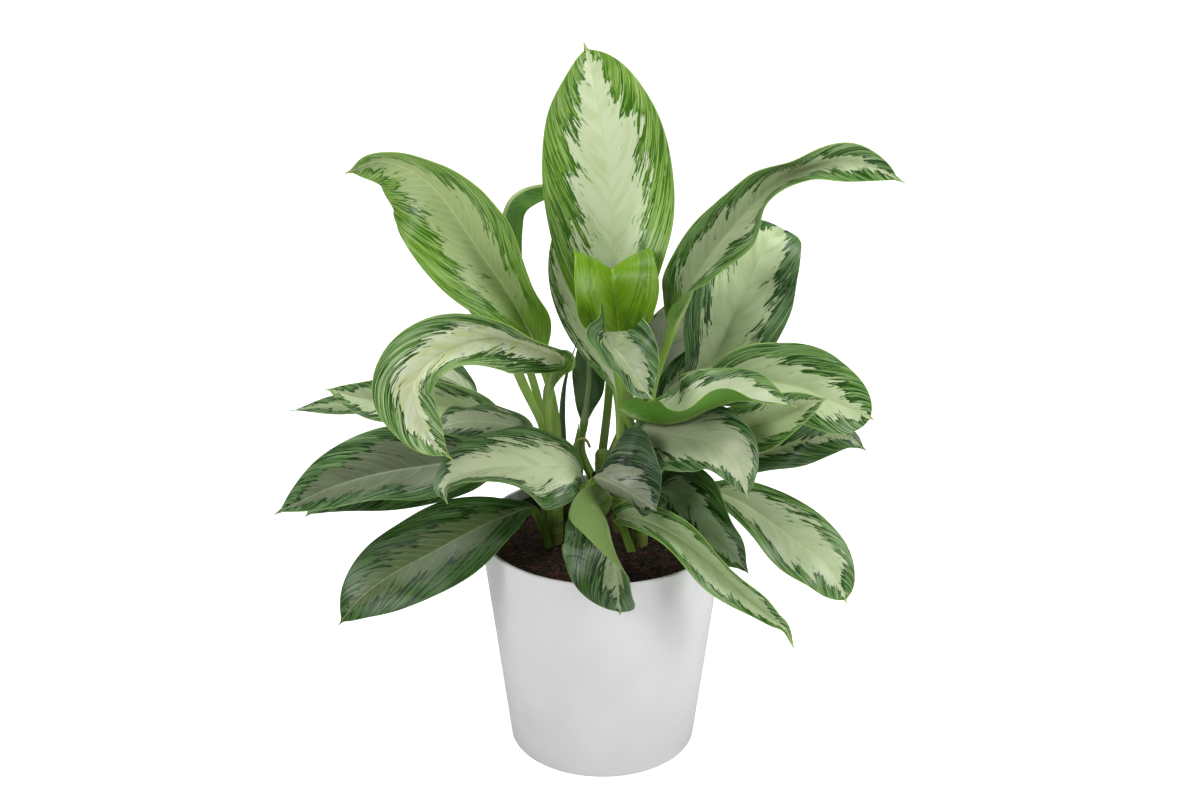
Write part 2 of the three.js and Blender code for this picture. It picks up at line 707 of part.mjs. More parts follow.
// The largest body of a solid that a cut may have left with loose scraps.
function largestBody(solid) {
  return solid.decompose().reduce((best, body) => (body.volume() > best.volume() ? body : best));
}

// A surface of revolution about +Z from [radius, height] pairs that go up the outside.
function turned(profile, sides) {
  const points = profile.map(([radius, height]) => new THREE.Vector2(radius, height));
  const geometry = new THREE.LatheGeometry(points, sides);
  geometry.rotateX(Math.PI / 2);
  return geometry;
}

// Points on a quarter or half circle, from one angle to another, in degrees.
function arc(centre, radius, from, to, steps) {
  return Array.from({ length: steps + 1 }, (_, i) => {
    const angle = THREE.MathUtils.degToRad(from + ((to - from) * i) / steps);
    return [centre[0] + radius * Math.cos(angle), centre[1] + radius * Math.sin(angle)];
  });
}

// Radius of the white pot's outer and inner faces at a height.
function potOuterRadius(height) {
  return POT_FOOT_RADIUS + ((POT_RIM_RADIUS - POT_FOOT_RADIUS) * height) / POT_HEIGHT;
}

function potInnerRadius(height) {
  return potOuterRadius(height) - POT_WALL;
}

// The white pot: its flat underside, rounded foot, straight wall and rounded lip.
function potGeometry() {
  const lip = POT_WALL / 2;
  const round = POT_FOOT_ROUNDING;
  const footCentre = [potOuterRadius(round) - round, round];
  const lipCentre = [potOuterRadius(POT_HEIGHT) - lip, POT_HEIGHT - lip];
  return turned(
    [
      [0, 0],
      ...arc(footCentre, round, -90, 0, 4),
      ...arc(lipCentre, lip, 0, 180, 5),
      ...arc([potInnerRadius(POT_FLOOR + round) - round, POT_FLOOR + round], round, 0, -90, 3),
      [0, POT_FLOOR],
    ],
    POT_SIDES,
  );
}

// Radius of the grower pot's outer face, which follows the white pot's inner face.
function linerOuterRadius(height) {
  return potInnerRadius(height) - LINER_GAP - POT_FOOT_ROUNDING * Math.max(0, 1 - height / LINER_SHOULDER);
}

function linerInnerRadius(height) {
  return linerOuterRadius(height) - LINER_WALL;
}

// The grower pot: a thin cup with a small rolled bead round its rim.
function linerGeometry() {
  const foot = POT_FLOOR + SEAT_GAP;
  const floor = foot + LINER_FLOOR;
  const beadFoot = LINER_TOP - 4;
  return turned(
    [
      [0, foot],
      [linerOuterRadius(foot), foot],
      [linerOuterRadius(LINER_SHOULDER), LINER_SHOULDER],
      [linerOuterRadius(beadFoot), beadFoot],
      [linerOuterRadius(beadFoot) + LINER_BEAD, beadFoot + 1],
      [linerOuterRadius(LINER_TOP) + LINER_BEAD, LINER_TOP],
      [linerInnerRadius(LINER_TOP), LINER_TOP],
      [linerInnerRadius(LINER_SHOULDER), LINER_SHOULDER],
      [linerInnerRadius(floor), floor],
      [0, floor],
    ],
    INNER_SIDES,
  );
}

// The soil as one filled body, before its holes are cut.
function soilGeometry() {
  const foot = POT_FLOOR + LINER_FLOOR + 2 * SEAT_GAP;
  return turned(
    [
      [0, foot],
      [linerInnerRadius(foot) - SEAT_GAP, foot],
      [linerInnerRadius(LINER_SHOULDER) - SEAT_GAP, LINER_SHOULDER],
      [linerInnerRadius(SOIL_EDGE) - SEAT_GAP, SOIL_EDGE],
      [SOIL_MOUND_RADIUS, (SOIL_EDGE + SOIL_MIDDLE) / 2],
      [SOIL_MOUND_RADIUS / 2, SOIL_MIDDLE],
      [0, SOIL_MIDDLE],
    ],
    INNER_SIDES,
  );
}

// A cane: a round rod with one faint joint and a tapered top.
function caneGeometry({ x, y, top }, grow) {
  const radius = CANE_RADIUS + grow;
  const shoulder = top - CANE_TIP;
  const joint = CANE_FOOT + (shoulder - CANE_FOOT) * CANE_JOINT_SHARE;
  const geometry = turned(
    [
      [0, CANE_FOOT - grow],
      [radius, CANE_FOOT - grow],
      [radius, joint - 3],
      [radius + CANE_JOINT_BULGE, joint],
      [radius, joint + 3],
      [radius, shoulder],
      [radius * 0.8, top - CANE_TIP / 3 + grow],
      [radius * 0.45, top + grow],
      [0, top + grow],
    ],
    CANE_SIDES,
  );
  geometry.translate(x, y, 0);
  return geometry;
}

// Value of a list of numbers or of number lists, given at equal steps over 0..1, on a smooth curve.
function along(values, t) {
  const last = values.length - 1;
  if (last === 0) {
    return [].concat(values[0]);
  }
  const place = THREE.MathUtils.clamp(t, 0, 1) * last;
  const i = Math.min(Math.floor(place), last - 1);
  const f = place - i;
  const [p0, p1, p2, p3] = [i - 1, i, i + 1, i + 2].map((k) =>
    [].concat(values[THREE.MathUtils.clamp(k, 0, last)]),
  );
  return p1.map((value, k) => {
    const slopeIn = (p2[k] - p0[k]) / 2;
    const slopeOut = (p3[k] - p1[k]) / 2;
    return (
      (2 * f ** 3 - 3 * f ** 2 + 1) * value +
      (f ** 3 - 2 * f ** 2 + f) * slopeIn +
      (3 * f ** 2 - 2 * f ** 3) * p2[k] +
      (f ** 3 - f ** 2) * slopeOut
    );
  });
}

// Half the width of the stalk, where t is below 0, and of the midrib, where t runs 0..1.
function ribRadius(leaf, t) {
  return leaf.stalk * (t < 0 ? 1 - STALK_SWELL * t : 1 - RIB_TAPER * t);
}

// Depth of the stalk or midrib under the upper face. The stalk's depth dies out on the blade.
function ribDepth(leaf, t) {
  const stalkDepth = STALK_DEPTH * ribRadius(leaf, t);
  const bladeDepth = RIB_DEPTH * (1 - Math.max(t, 0));
  const share = THREE.MathUtils.clamp(1 - t / STALK_FADE, 0, 1);
  return bladeDepth + (stalkDepth - bladeDepth) * share;
}

// Half width of a leaf: a rounded outline that ends in a short narrow drip tip.
function halfWidth(leaf, t) {
  if (t <= 0) {
    return ribRadius(leaf, t);
  }
  const [a, b] = leaf.taper;
  const widest = a / (a + b);
  const s = Math.min(t / BLADE_END, 1);
  const body = (s / widest) ** a * ((1 - s) / (1 - widest)) ** b;
  const tip = DRIP_TIP * THREE.MathUtils.clamp((t - 0.8) * 10, 0, 1) * ((1 - t) / DRIP_LENGTH);
  const width = Math.hypot(leaf.half * Math.max(body, tip), ribRadius(leaf, t) * (1 - t));
  return Math.max(width, LEAST_HALF_WIDTH);
}

// Places along a leaf, 0 at the cane and 1 at the tip, closer together at both ends of the blade.
function placesAlong(bladeStart, bladeSteps) {
  const stalk = Array.from({ length: STALK_STEPS }, (_, i) => (bladeStart * i) / STALK_STEPS);
  const blade = Array.from({ length: bladeSteps + 1 }, (_, i) => {
    const even = i / bladeSteps;
    const eased = 0.5 - 0.5 * Math.cos(Math.PI * even);
    return bladeStart + (1 - bladeStart) * (END_CROWDING * eased + (1 - END_CROWDING) * even);
  });
  return [...stalk, ...blade];
}

// One row of points across a leaf, from its left margin to its right one, on both faces. Each half
// bends as an arc between two angles, measured from flat towards the upper side: the first at the
// rib and the second at the margin.
function rowAcross(leaf, t, centre, tangent, grow) {
  const onBlade = THREE.MathUtils.clamp(t, 0, 1);
  const facing = new THREE.Vector3(...along(leaf.face, onBlade));
  const flat = facing.addScaledVector(tangent, -facing.dot(tangent)).normalize();
  const side = new THREE.Vector3().crossVectors(tangent, flat);
  const turn = THREE.MathUtils.degToRad(along(leaf.turn, onBlade)[0]);
  const normal = flat.multiplyScalar(Math.cos(turn)).addScaledVector(side, Math.sin(turn));
  side.crossVectors(tangent, normal);

  const [waveSize, waves, leftPhase, rightPhase] = leaf.wave;
  const waveHere = waveSize * Math.sin(Math.PI * onBlade) ** 0.7;
  const unfold = THREE.MathUtils.clamp(1 + t / FOLD_START, 0, 1);
  const perHalf = ((leaf.columns ?? 5) - 1) / 2;
  const upper = [];
  const lower = [];
  for (let column = -perHalf; column <= perHalf; column += 1) {
    const sign = column < 0 ? -1 : 1;
    const q = Math.abs(column) / perHalf;
    const width = halfWidth(leaf, t) + grow;
    const [atRib, atMargin] = along(sign < 0 ? leaf.left : leaf.right, onBlade).map((angle) =>
      THREE.MathUtils.degToRad(angle * unfold),
    );
    const bendAt = (share) => atRib + (atMargin - atRib) * share ** (leaf.curl ?? 1);
    const point = centre.clone();
    for (let k = 0; k < ARC_PIECES; k += 1) {
      const angle = bendAt((q * (k + 0.5)) / ARC_PIECES);
      const step = (width * q) / ARC_PIECES;
      point.addScaledVector(side, sign * step * Math.cos(angle));
      point.addScaledVector(normal, step * Math.sin(angle));
    }
    const outward = normal.clone();
    if (column !== 0) {
      const angle = bendAt(q);
      outward.multiplyScalar(Math.cos(angle)).addScaledVector(side, -sign * Math.sin(angle));
    }
    const phase = sign < 0 ? leftPhase : rightPhase;
    const wave = waveHere * Math.sin(2 * Math.PI * (waves * onBlade + phase)) * q * q;
    point.addScaledVector(outward, wave);
    const reach = Math.min(1, (width * q) / ribRadius(leaf, t));
    const depth = BLADE_THICKNESS + ribDepth(leaf, t) * Math.sqrt(1 - reach * reach);
    upper.push(point.clone().addScaledVector(outward, grow));
    lower.push(point.clone().addScaledVector(outward, -depth - grow));
  }
  return { upper, lower };
}

// A leaf as a closed sheet that follows its path, with the same points on both faces. A copy grown
// for a hole is larger on all sides and starts lower.
function leafGeometry(leaf, grow = 0) {
  const points = leaf.path.map(([x, y, z]) => new THREE.Vector3(x, y, z));
  const curve = new THREE.CatmullRomCurve3(points, false, 'centripetal');
  curve.arcLengthDivisions = CURVE_PIECES * (points.length - 1);
  const lengths = curve.getLengths();
  const bladeStart = lengths[leaf.blade * CURVE_PIECES] / lengths[lengths.length - 1];
  const rows = placesAlong(bladeStart, leaf.steps ?? BLADE_STEPS).map((u, row) => {
    const t = (u - bladeStart) / (1 - bladeStart);
    const centre = curve.getPointAt(u);
    const tangent = curve.getTangentAt(u);
    centre.addScaledVector(tangent, row === 0 ? -grow : 0);
    return rowAcross(leaf, t, centre, tangent, grow);
  });
  return sheetGeometry(
    rows.map((row) => row.upper),
    rows.map((row) => row.lower),
  );
}

// Closes two grids of points into one surface, with the same triangles on both faces.
function sheetGeometry(upper, lower) {
  const rows = upper.length;
  const columns = upper[0].length;
  const positions = [upper, lower].flat(2).flatMap((point) => point.toArray());
  const faces = [];
  const top = (i, j) => i * columns + j;
  const under = (i, j) => rows * columns + i * columns + j;
  const quad = (a, b, c, d) => faces.push(a, b, c, a, c, d);
  const lastRow = rows - 1;
  const lastColumn = columns - 1;
  for (let i = 0; i < lastRow; i += 1) {
    for (let j = 0; j < lastColumn; j += 1) {
      if (j < lastColumn / 2) {
        quad(top(i, j), top(i, j + 1), top(i + 1, j + 1), top(i + 1, j));
        quad(under(i, j), under(i + 1, j), under(i + 1, j + 1), under(i, j + 1));
      } else {
        quad(top(i, j + 1), top(i + 1, j + 1), top(i + 1, j), top(i, j));
        quad(under(i, j + 1), under(i, j), under(i + 1, j), under(i + 1, j + 1));
      }
    }
    quad(top(i, 0), top(i + 1, 0), under(i + 1, 0), under(i, 0));
    quad(top(i, lastColumn), under(i, lastColumn), under(i + 1, lastColumn), top(i + 1, lastColumn));
  }
  for (let j = 0; j < lastColumn; j += 1) {
    quad(top(0, j), under(0, j), under(0, j + 1), top(0, j + 1));
    quad(top(lastRow, j), top(lastRow, j + 1), under(lastRow, j + 1), under(lastRow, j));
  }
  const geometry = new THREE.BufferGeometry();
  geometry.setAttribute('position', new THREE.Float32BufferAttribute(positions, 3));
  geometry.setIndex(faces);
  return geometry;
}

// A round shoot that follows its points, with a radius at each, closed at both ends. A copy grown
// for a hole is wider all round and starts lower.
function shootGeometry({ path, radii }, grow = 0) {
  const points = path.map(([x, y, z]) => new THREE.Vector3(x, y, z));
  const curve = new THREE.CatmullRomCurve3(points, false, 'centripetal');
  const steps = SHOOT_STEPS * (points.length - 1);
  const sides = SHOOT_SIDES;
  const frames = curve.computeFrenetFrames(steps, false);
  const positions = [];
  const faces = [];
  for (let i = 0; i <= steps; i += 1) {
    const centre = curve.getPointAt(i / steps);
    centre.addScaledVector(frames.tangents[i], i === 0 ? -grow : 0);
    const radius = along(radii, i / steps)[0] + grow;
    for (let k = 0; k < sides; k += 1) {
      const angle = (2 * Math.PI * k) / sides;
      const p = centre
        .clone()
        .addScaledVector(frames.normals[i], radius * Math.cos(angle))
        .addScaledVector(frames.binormals[i], radius * Math.sin(angle));
      positions.push(p.x, p.y, p.z);
    }
  }
  for (let i = 0; i < steps; i += 1) {
    for (let k = 0; k < sides; k += 1) {
      const next = (k + 1) % sides;
      const here = i * sides;
      const beyond = here + sides;
      faces.push(here + k, here + next, beyond + next);
      faces.push(here + k, beyond + next, beyond + k);
    }
  }
  for (let k = 1; k < sides - 1; k += 1) {
    const last = steps * sides;
    faces.push(0, k + 1, k, last, last + k, last + k + 1);
  }
  const geometry = new THREE.BufferGeometry();
  geometry.setAttribute('position', new THREE.Float32BufferAttribute(positions, 3));
  geometry.setIndex(faces);
  return geometry;
}

const plant = new THREE.Group();

// Adds one named piece with a finish of its own.
function add(name, geometry, colour, roughness) {
  const material = new THREE.MeshStandardMaterial({ color: colour, roughness, metalness: 0 });
  const mesh = new THREE.Mesh(geometry, material);
  mesh.name = name;
  plant.add(mesh);
}

add('pot', potGeometry(), COLOURS.pot, 0.4);
add('grower_pot', linerGeometry(), COLOURS.liner, 0.6);

// The canes, and the same canes with the clearance round them that every cut uses.
const caneCuts = {};
for (const [name, place] of Object.entries(CANE_PLACES)) {
  add(name, caneGeometry(place, 0), COLOURS.cane, 0.5);
  caneCuts[name] = solidFrom(caneGeometry(place, SEAT_GAP));
}

// Each leaf's stalk starts inside its cane and is cut back to the cane's surface. A leaf with no
// cane stands in a hole of its own in the soil, as the small shoots do.
const soilHoles = Object.values(caneCuts);
for (const leaf of LEAVES) {
  let solid = solidFrom(leafGeometry(leaf));
  if (leaf.cane) {
    solid = largestBody(solid.subtract(caneCuts[leaf.cane]));
  } else {
    soilHoles.push(solidFrom(leafGeometry(leaf, SEAT_GAP)));
  }
  add(leaf.name, geometryFrom(solid), leaf.colour ?? COLOURS.leaf, 0.45);
}
for (const shoot of SHOOTS) {
  add(shoot.name, shootGeometry(shoot), shoot.colour, 0.5);
  soilHoles.push(solidFrom(shootGeometry(shoot, SEAT_GAP)));
}

let soil = solidFrom(soilGeometry());
for (const hole of soilHoles) {
  soil = soil.subtract(hole);
}
add('soil', geometryFrom(largestBody(soil)), COLOURS.soil, 0.95);

export default plant;
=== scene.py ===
"""A potted chinese evergreen: silver and green leaves on short canes, in a plain white planter.

Everything is in metres in the frame of the CAD model: X to the right, Y away from the viewer, Z up,
with the origin in the middle of the planter's flat underside. Leaf paths are noted in millimetres.
"""

import functools

import bpy
import numpy as np
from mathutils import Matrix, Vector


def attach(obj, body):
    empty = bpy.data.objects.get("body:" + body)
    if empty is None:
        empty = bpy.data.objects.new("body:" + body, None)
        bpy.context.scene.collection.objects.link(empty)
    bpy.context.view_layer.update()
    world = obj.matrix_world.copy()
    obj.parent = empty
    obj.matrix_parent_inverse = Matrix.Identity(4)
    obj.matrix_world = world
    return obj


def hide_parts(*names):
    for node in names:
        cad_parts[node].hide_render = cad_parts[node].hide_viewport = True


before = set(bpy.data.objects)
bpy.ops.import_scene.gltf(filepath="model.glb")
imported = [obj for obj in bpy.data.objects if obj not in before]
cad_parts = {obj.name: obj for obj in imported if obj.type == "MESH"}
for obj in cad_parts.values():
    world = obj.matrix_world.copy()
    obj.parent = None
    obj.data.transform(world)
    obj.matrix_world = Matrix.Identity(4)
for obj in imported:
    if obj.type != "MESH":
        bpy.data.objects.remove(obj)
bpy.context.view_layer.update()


# White planter
# A thin tapered shell with a rounded foot and lip, cast in one piece and finished a satin white.
# It stands on its flat underside, and the grower pot is dropped into it.

MM = 0.001
POT_HEIGHT = 240 * MM
POT_RIM_RADIUS = 125 * MM
POT_FOOT_RADIUS = 95.3 * MM
POT_WALL = 3.5 * MM
POT_FLOOR = 6 * MM
POT_ROUNDING = 5 * MM
POT_SEGMENTS = 192
POT_WHITE = (218, 218, 219)
POT_SHADE = (212, 212, 213)


def linear(colour):
    """A colour as the eye sees it, 0 to 255, as the light that Blender works with."""
    share = np.array(colour) / 255
    light = np.where(share <= 0.04045, share / 12.92, ((share + 0.055) / 1.055) ** 2.4)
    return (*[float(value) for value in light], 1.0)


def quarter(centre, radius, start, end, steps=8):
    """Points of an arc round a centre, from one angle to another, in degrees."""
    angle = np.radians(np.linspace(start, end, steps + 1))
    return np.stack([centre[0] + radius * np.cos(angle), centre[1] + radius * np.sin(angle)], 1)


def add_piece(name, points, faces, slot_name, material, smooth=True):
    """A mesh object from its points and faces, which rides on the plant and takes a finish."""
    mesh = bpy.data.meshes.new(name)
    mesh.from_pydata(points.tolist(), [], faces)
    mesh.polygons.foreach_set("use_smooth", np.full(len(mesh.polygons), smooth))
    mesh.materials.append(material)
    piece = bpy.data.objects.new(name, mesh)
    bpy.context.scene.collection.objects.link(piece)
    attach(piece, "root")
    return piece


def closed_rings(rings, foot, top):
    """A closed body from rings of points, with a single point at its foot and one at its top.

    Quads join each ring to the next, and a fan joins each end's ring to its point.
    """
    rows, segments = rings.shape[:2]
    here = np.arange(segments)
    beyond = (here + 1) % segments
    low = segments * np.arange(rows - 1)[:, None]
    high = low + segments
    quads = np.stack([low + here, low + beyond, high + beyond, high + here], 2).reshape(-1, 4)
    ends = []
    for pole, ring, order in ((rows * segments, 0, -1), (rows * segments + 1, rows - 1, 1)):
        edge = np.stack([here, beyond], 1)[:, ::order] + ring * segments
        ends.append(np.column_stack([np.full(segments, pole), edge]))
    points = np.vstack([rings.reshape(-1, 3), foot, top])
    return points, quads.tolist() + np.vstack(ends).tolist()


def turned_surface(profile, segments):
    """A profile of radius and height turned round the Z axis, with a single point at each pole.

    Point (i, k) is (r cos a, r sin a, z): r and z are profile row i, and a is 2 pi k / segments.
    """
    angle = 2 * np.pi * np.arange(segments) / segments
    radius, height = profile[1:-1].T[:, :, None]
    rings = np.stack([radius * np.cos(angle), radius * np.sin(angle), height + 0 * angle], 2)
    return closed_rings(rings, (0, 0, profile[0, 1]), (0, 0, profile[-1, 1]))


def pot_outer(height):
    """Radius of the planter's outer wall at a height: a straight taper."""
    return POT_FOOT_RADIUS + (POT_RIM_RADIUS - POT_FOOT_RADIUS) * height / POT_HEIGHT


def pot_inner(height):
    """Radius of the planter's inner wall at a height."""
    return pot_outer(height) - POT_WALL


lip = POT_WALL / 2
foot_corner = (pot_outer(POT_ROUNDING) - POT_ROUNDING, POT_ROUNDING)
lip_centre = (pot_outer(POT_HEIGHT) - lip, POT_HEIGHT - lip)
inner_corner_height = POT_FLOOR + POT_ROUNDING
inner_corner = (pot_inner(inner_corner_height) - POT_ROUNDING, inner_corner_height)
pot_profile = np.vstack(
    [
        (0, 0),
        (0.6 * POT_FOOT_RADIUS, 0),
        quarter(foot_corner, POT_ROUNDING, -90, 0),
        (pot_outer(0.5 * POT_HEIGHT), 0.5 * POT_HEIGHT),
        quarter(lip_centre, lip, 0, 180),
        quarter(inner_corner, POT_ROUNDING, 0, -90),
        (0, POT_FLOOR),
    ]
)


def new_material(name):
    """A material with its node tree, its Principled BSDF and nothing else."""
    material = bpy.data.materials.new(name)
    material.use_nodes = True
    return material, material.node_tree, material.node_tree.nodes["Principled BSDF"]


def node(tree, kind, inputs=(), **settings):
    """A node of a tree with its settings. Each input is a value or another node's output."""
    made = tree.nodes.new(kind)
    for key, value in settings.items():
        setattr(made, key, value)
    for key, value in dict(inputs).items():
        if isinstance(value, bpy.types.NodeSocket):
            tree.links.new(value, made.inputs[key])
        else:
            made.inputs[key].default_value = value
    return made


def maths(tree, operation, *values):
    """The result of a Math node."""
    return node(tree, "ShaderNodeMath", dict(enumerate(values)), operation=operation).outputs[0]


def mixed(tree, share, first, second):
    """Two colours mixed: the first where the share is 0, the second where it is 1."""
    inputs = {0: share, 6: first, 7: second}
    return node(tree, "ShaderNodeMix", inputs, data_type="RGBA", clamp_factor=True).outputs[2]


def ramp(tree, value, low, high, start=0.0, end=1.0):
    """A value eased from start to end while it goes from low to high."""
    inputs = {"Value": value, "From Min": low, "From Max": high, "To Min": start, "To Max": end}
    return node(tree, "ShaderNodeMapRange", inputs, interpolation_type="SMOOTHSTEP").outputs[0]


def speckle(tree, vector, scale, detail=2.0, roughness=0.5):
    """A cloudy noise from 0 to 1 over a vector."""
    inputs = {"Vector": vector, "Scale": scale, "Detail": detail, "Roughness": roughness}
    return node(tree, "ShaderNodeTexNoise", inputs).outputs["Fac"]


def object_place(tree):
    """Where a point lies on its piece, in metres."""
    return node(tree, "ShaderNodeTexCoord").outputs["Object"]


def coat(tree, shader, colour, roughness, height=None, strength=1.0, depth=MM):
    """Joins a colour, a roughness and the height of a bump to a material's shader."""
    tree.links.new(colour, shader.inputs["Base Color"])
    tree.links.new(roughness, shader.inputs["Roughness"])
    if height is not None:
        inputs = {"Height": height, "Strength": strength, "Distance": depth}
        bump = node(tree, "ShaderNodeBump", inputs).outputs["Normal"]
        tree.links.new(bump, shader.inputs["Normal"])


glaze, tree, shader = new_material("satin_white_glaze")
place = object_place(tree)
cloud = speckle(tree, place, 14.0, 3.0)
grain = speckle(tree, place, 900.0, 2.0)
white = mixed(tree, ramp(tree, cloud, 0.35, 0.7), linear(POT_WHITE), linear(POT_SHADE))
coat(tree, shader, white, ramp(tree, cloud, 0.3, 0.75, 0.36, 0.46), grain, 0.12, 0.2 * MM)
planter = add_piece("planter_shell", *turned_surface(pot_profile, POT_SEGMENTS), "white_pot", glaze)
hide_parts("pot")


# Grower pot
# The thin black nursery pot that the plant was raised in, pressed from plastic sheet with a small
# bead round its rim. It stands on the planter's floor, and only its rim shows.

GAP = 0.3 * MM
LINER_TOP = 229 * MM
LINER_WALL = 1.2 * MM
LINER_FLOOR = 1.5 * MM
LINER_CLEARANCE = 1.3 * MM
LINER_SHOULDER = 40 * MM
LINER_BEAD = 0.7 * MM
LINER_BEAD_HEIGHT = 4 * MM
LINER_SEGMENTS = 144
LINER_BLACK = (30, 28, 27)
LINER_DUST = (66, 56, 48)


def liner_outer(height):
    """Radius of the grower pot: the planter's inside less a gap, drawn in below its shoulder."""
    drawn_in = POT_ROUNDING * max(0, 1 - height / LINER_SHOULDER)
    return pot_inner(height) - LINER_CLEARANCE - drawn_in


def liner_inner(height):
    """Radius of the grower pot's inner face."""
    return liner_outer(height) - LINER_WALL


liner_foot = POT_FLOOR + GAP
liner_floor = liner_foot + LINER_FLOOR
bead_foot = LINER_TOP - LINER_BEAD_HEIGHT
bead_middle = LINER_TOP - LINER_BEAD_HEIGHT / 2
liner_profile = np.array(
    [
        (0, liner_foot),
        (liner_outer(liner_foot), liner_foot),
        (liner_outer(LINER_SHOULDER), LINER_SHOULDER),
        (liner_outer(bead_foot), bead_foot),
        (liner_outer(bead_foot) + LINER_BEAD * 0.7, bead_foot + LINER_BEAD),
        (liner_outer(bead_middle) + LINER_BEAD, bead_middle),
        (liner_outer(LINER_TOP) + LINER_BEAD * 0.6, LINER_TOP - 0.2 * LINER_BEAD),
        (liner_outer(LINER_TOP), LINER_TOP),
        (liner_inner(LINER_TOP), LINER_TOP - 0.2 * LINER_BEAD),
        (liner_inner(LINER_SHOULDER), LINER_SHOULDER),
        (liner_inner(liner_floor), liner_floor),
        (0, liner_floor),
    ]
)

liner_plastic, tree, shader = new_material("black_nursery_plastic")
dust = ramp(tree, speckle(tree, object_place(tree), 120.0, 4.0), 0.5, 0.75)
black = mixed(tree, dust, linear(LINER_BLACK), linear(LINER_DUST))
coat(tree, shader, black, ramp(tree, dust, 0.0, 1.0, 0.42, 0.8))
liner = turned_surface(liner_profile, LINER_SEGMENTS)
liner = add_piece("nursery_pot", *liner, "dark_liner", liner_plastic)
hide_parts("grower_pot")


# Soil
# Dark peat compost that fills the grower pot and rises a little in the middle, with crumbs on top
# and short reddish coir fibres lying over it.

SOIL_EDGE = 221 * MM
SOIL_MIDDLE = 227 * MM
SOIL_MOUND = 70 * MM
SOIL_RINGS = 90
SOIL_SEGMENTS = 240
SOIL_LUMPS = 1.1 * MM
CRUMB_COUNT = 1500
FIBRE_COUNT = 700
FIBRE_POINTS = 7
FIBRE_RADIUS = 0.22 * MM
PEAT_DARK = (15, 8, 5)
PEAT_BROWN = (50, 28, 18)
PEAT_RED = (94, 54, 34)
COIR_DARK = (72, 40, 25)
COIR_PALE = (150, 98, 62)

soil_random = np.random.default_rng(7)
lump_waves = soil_random.normal(0, 1, (24, 2)) * np.geomspace(60, 900, 24)[:, None]
lump_shifts = soil_random.uniform(0, 2 * np.pi, 24)
lump_sizes = np.geomspace(1, 0.25, 24) / 3


def soil_height(x, y):
    """Height of the soil: a low mound, plus lumps made of waves that cross at random."""
    radius = np.hypot(x, y)
    rim = liner_inner(SOIL_EDGE) - GAP
    stops = [0, SOIL_MOUND / 2, SOIL_MOUND, rim]
    levels = [SOIL_MIDDLE, SOIL_MIDDLE, (SOIL_EDGE + SOIL_MIDDLE) / 2, SOIL_EDGE]
    mound = np.interp(radius, stops, levels)
    turns = np.multiply.outer(x, lump_waves[:, 0]) + np.multiply.outer(y, lump_waves[:, 1])
    lumps = (np.sin(turns + lump_shifts) * lump_sizes).sum(-1)
    return mound + SOIL_LUMPS * lumps


def soil_surface():
    """The compost as one closed body: a lumpy top on rings, and a plain wall and floor below.

    Top point (i, k) lies on ring i at radius rim * (i / rings), at the height of soil_height.
    """
    rim = liner_inner(SOIL_EDGE) - GAP
    foot = POT_FLOOR + LINER_FLOOR + 2 * GAP
    angle = 2 * np.pi * np.arange(SOIL_SEGMENTS) / SOIL_SEGMENTS
    top_radius = rim * np.arange(SOIL_RINGS, 0, -1) / SOIL_RINGS
    wall_radius = [liner_inner(foot) - GAP, liner_inner(LINER_SHOULDER) - GAP]
    radius = np.concatenate([wall_radius, top_radius])[:, None]
    x = radius * np.cos(angle)
    y = radius * np.sin(angle)
    z = soil_height(x, y)
    z[:2] = [[foot], [LINER_SHOULDER]]
    return closed_rings(np.stack([x, y, z], 2), (0, 0, foot), (0, 0, soil_height(0.0, 0.0)))


peat, tree, shader = new_material("damp_peat")
place = object_place(tree)
coarse = speckle(tree, place, 160.0, 5.0, 0.65)
fine = speckle(tree, place, 900.0, 3.0, 0.6)
brown = mixed(tree, ramp(tree, coarse, 0.38, 0.62), linear(PEAT_DARK), linear(PEAT_BROWN))
brown = mixed(tree, ramp(tree, fine, 0.62, 0.78), brown, linear(PEAT_RED))
lumpy = maths(tree, "ADD", coarse, maths(tree, "MULTIPLY", fine, 0.5))
coat(tree, shader, brown, ramp(tree, coarse, 0.3, 0.7, 0.98, 0.8), lumpy, 0.9, 2 * MM)
soil = add_piece("compost", *soil_surface(), "soil", peat)
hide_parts("soil")


def crumbs():
    """Crumbs of peat: eight-sided lumps, stretched and turned at random, half sunk in the soil."""
    rim = liner_inner(SOIL_EDGE) - 4 * MM
    angle = soil_random.uniform(0, 2 * np.pi, CRUMB_COUNT)
    radius = rim * np.sqrt(soil_random.uniform(0, 1, CRUMB_COUNT))
    x, y = radius * np.cos(angle), radius * np.sin(angle)
    centre = np.stack([x, y, soil_height(x, y)], 1)
    size = soil_random.gamma(3.0, 0.42, CRUMB_COUNT)[:, None, None] * MM
    corners = np.array([(1, 0, 0), (0, 1, 0), (-1, 0, 0), (0, -1, 0), (0, 0, 0.8), (0, 0, -0.8)])
    stretch = soil_random.uniform(0.6, 1.3, (CRUMB_COUNT, 6, 1))
    turn = soil_random.uniform(0, 2 * np.pi, CRUMB_COUNT)
    cosine, sine = np.cos(turn)[:, None], np.sin(turn)[:, None]
    lump = corners[None] * stretch * size
    x = lump[..., 0] * cosine - lump[..., 1] * sine
    y = lump[..., 0] * sine + lump[..., 1] * cosine
    points = np.stack([x, y, lump[..., 2]], 2) + centre[:, None]
    around = np.arange(4)
    upper = np.stack([around, (around + 1) % 4, np.full(4, 4)], 1)
    lower = np.stack([(around + 1) % 4, around, np.full(4, 5)], 1)
    faces = np.vstack([upper, lower])[None] + 6 * np.arange(CRUMB_COUNT)[:, None, None]
    return points.reshape(-1, 3), faces.reshape(-1, 3).tolist()


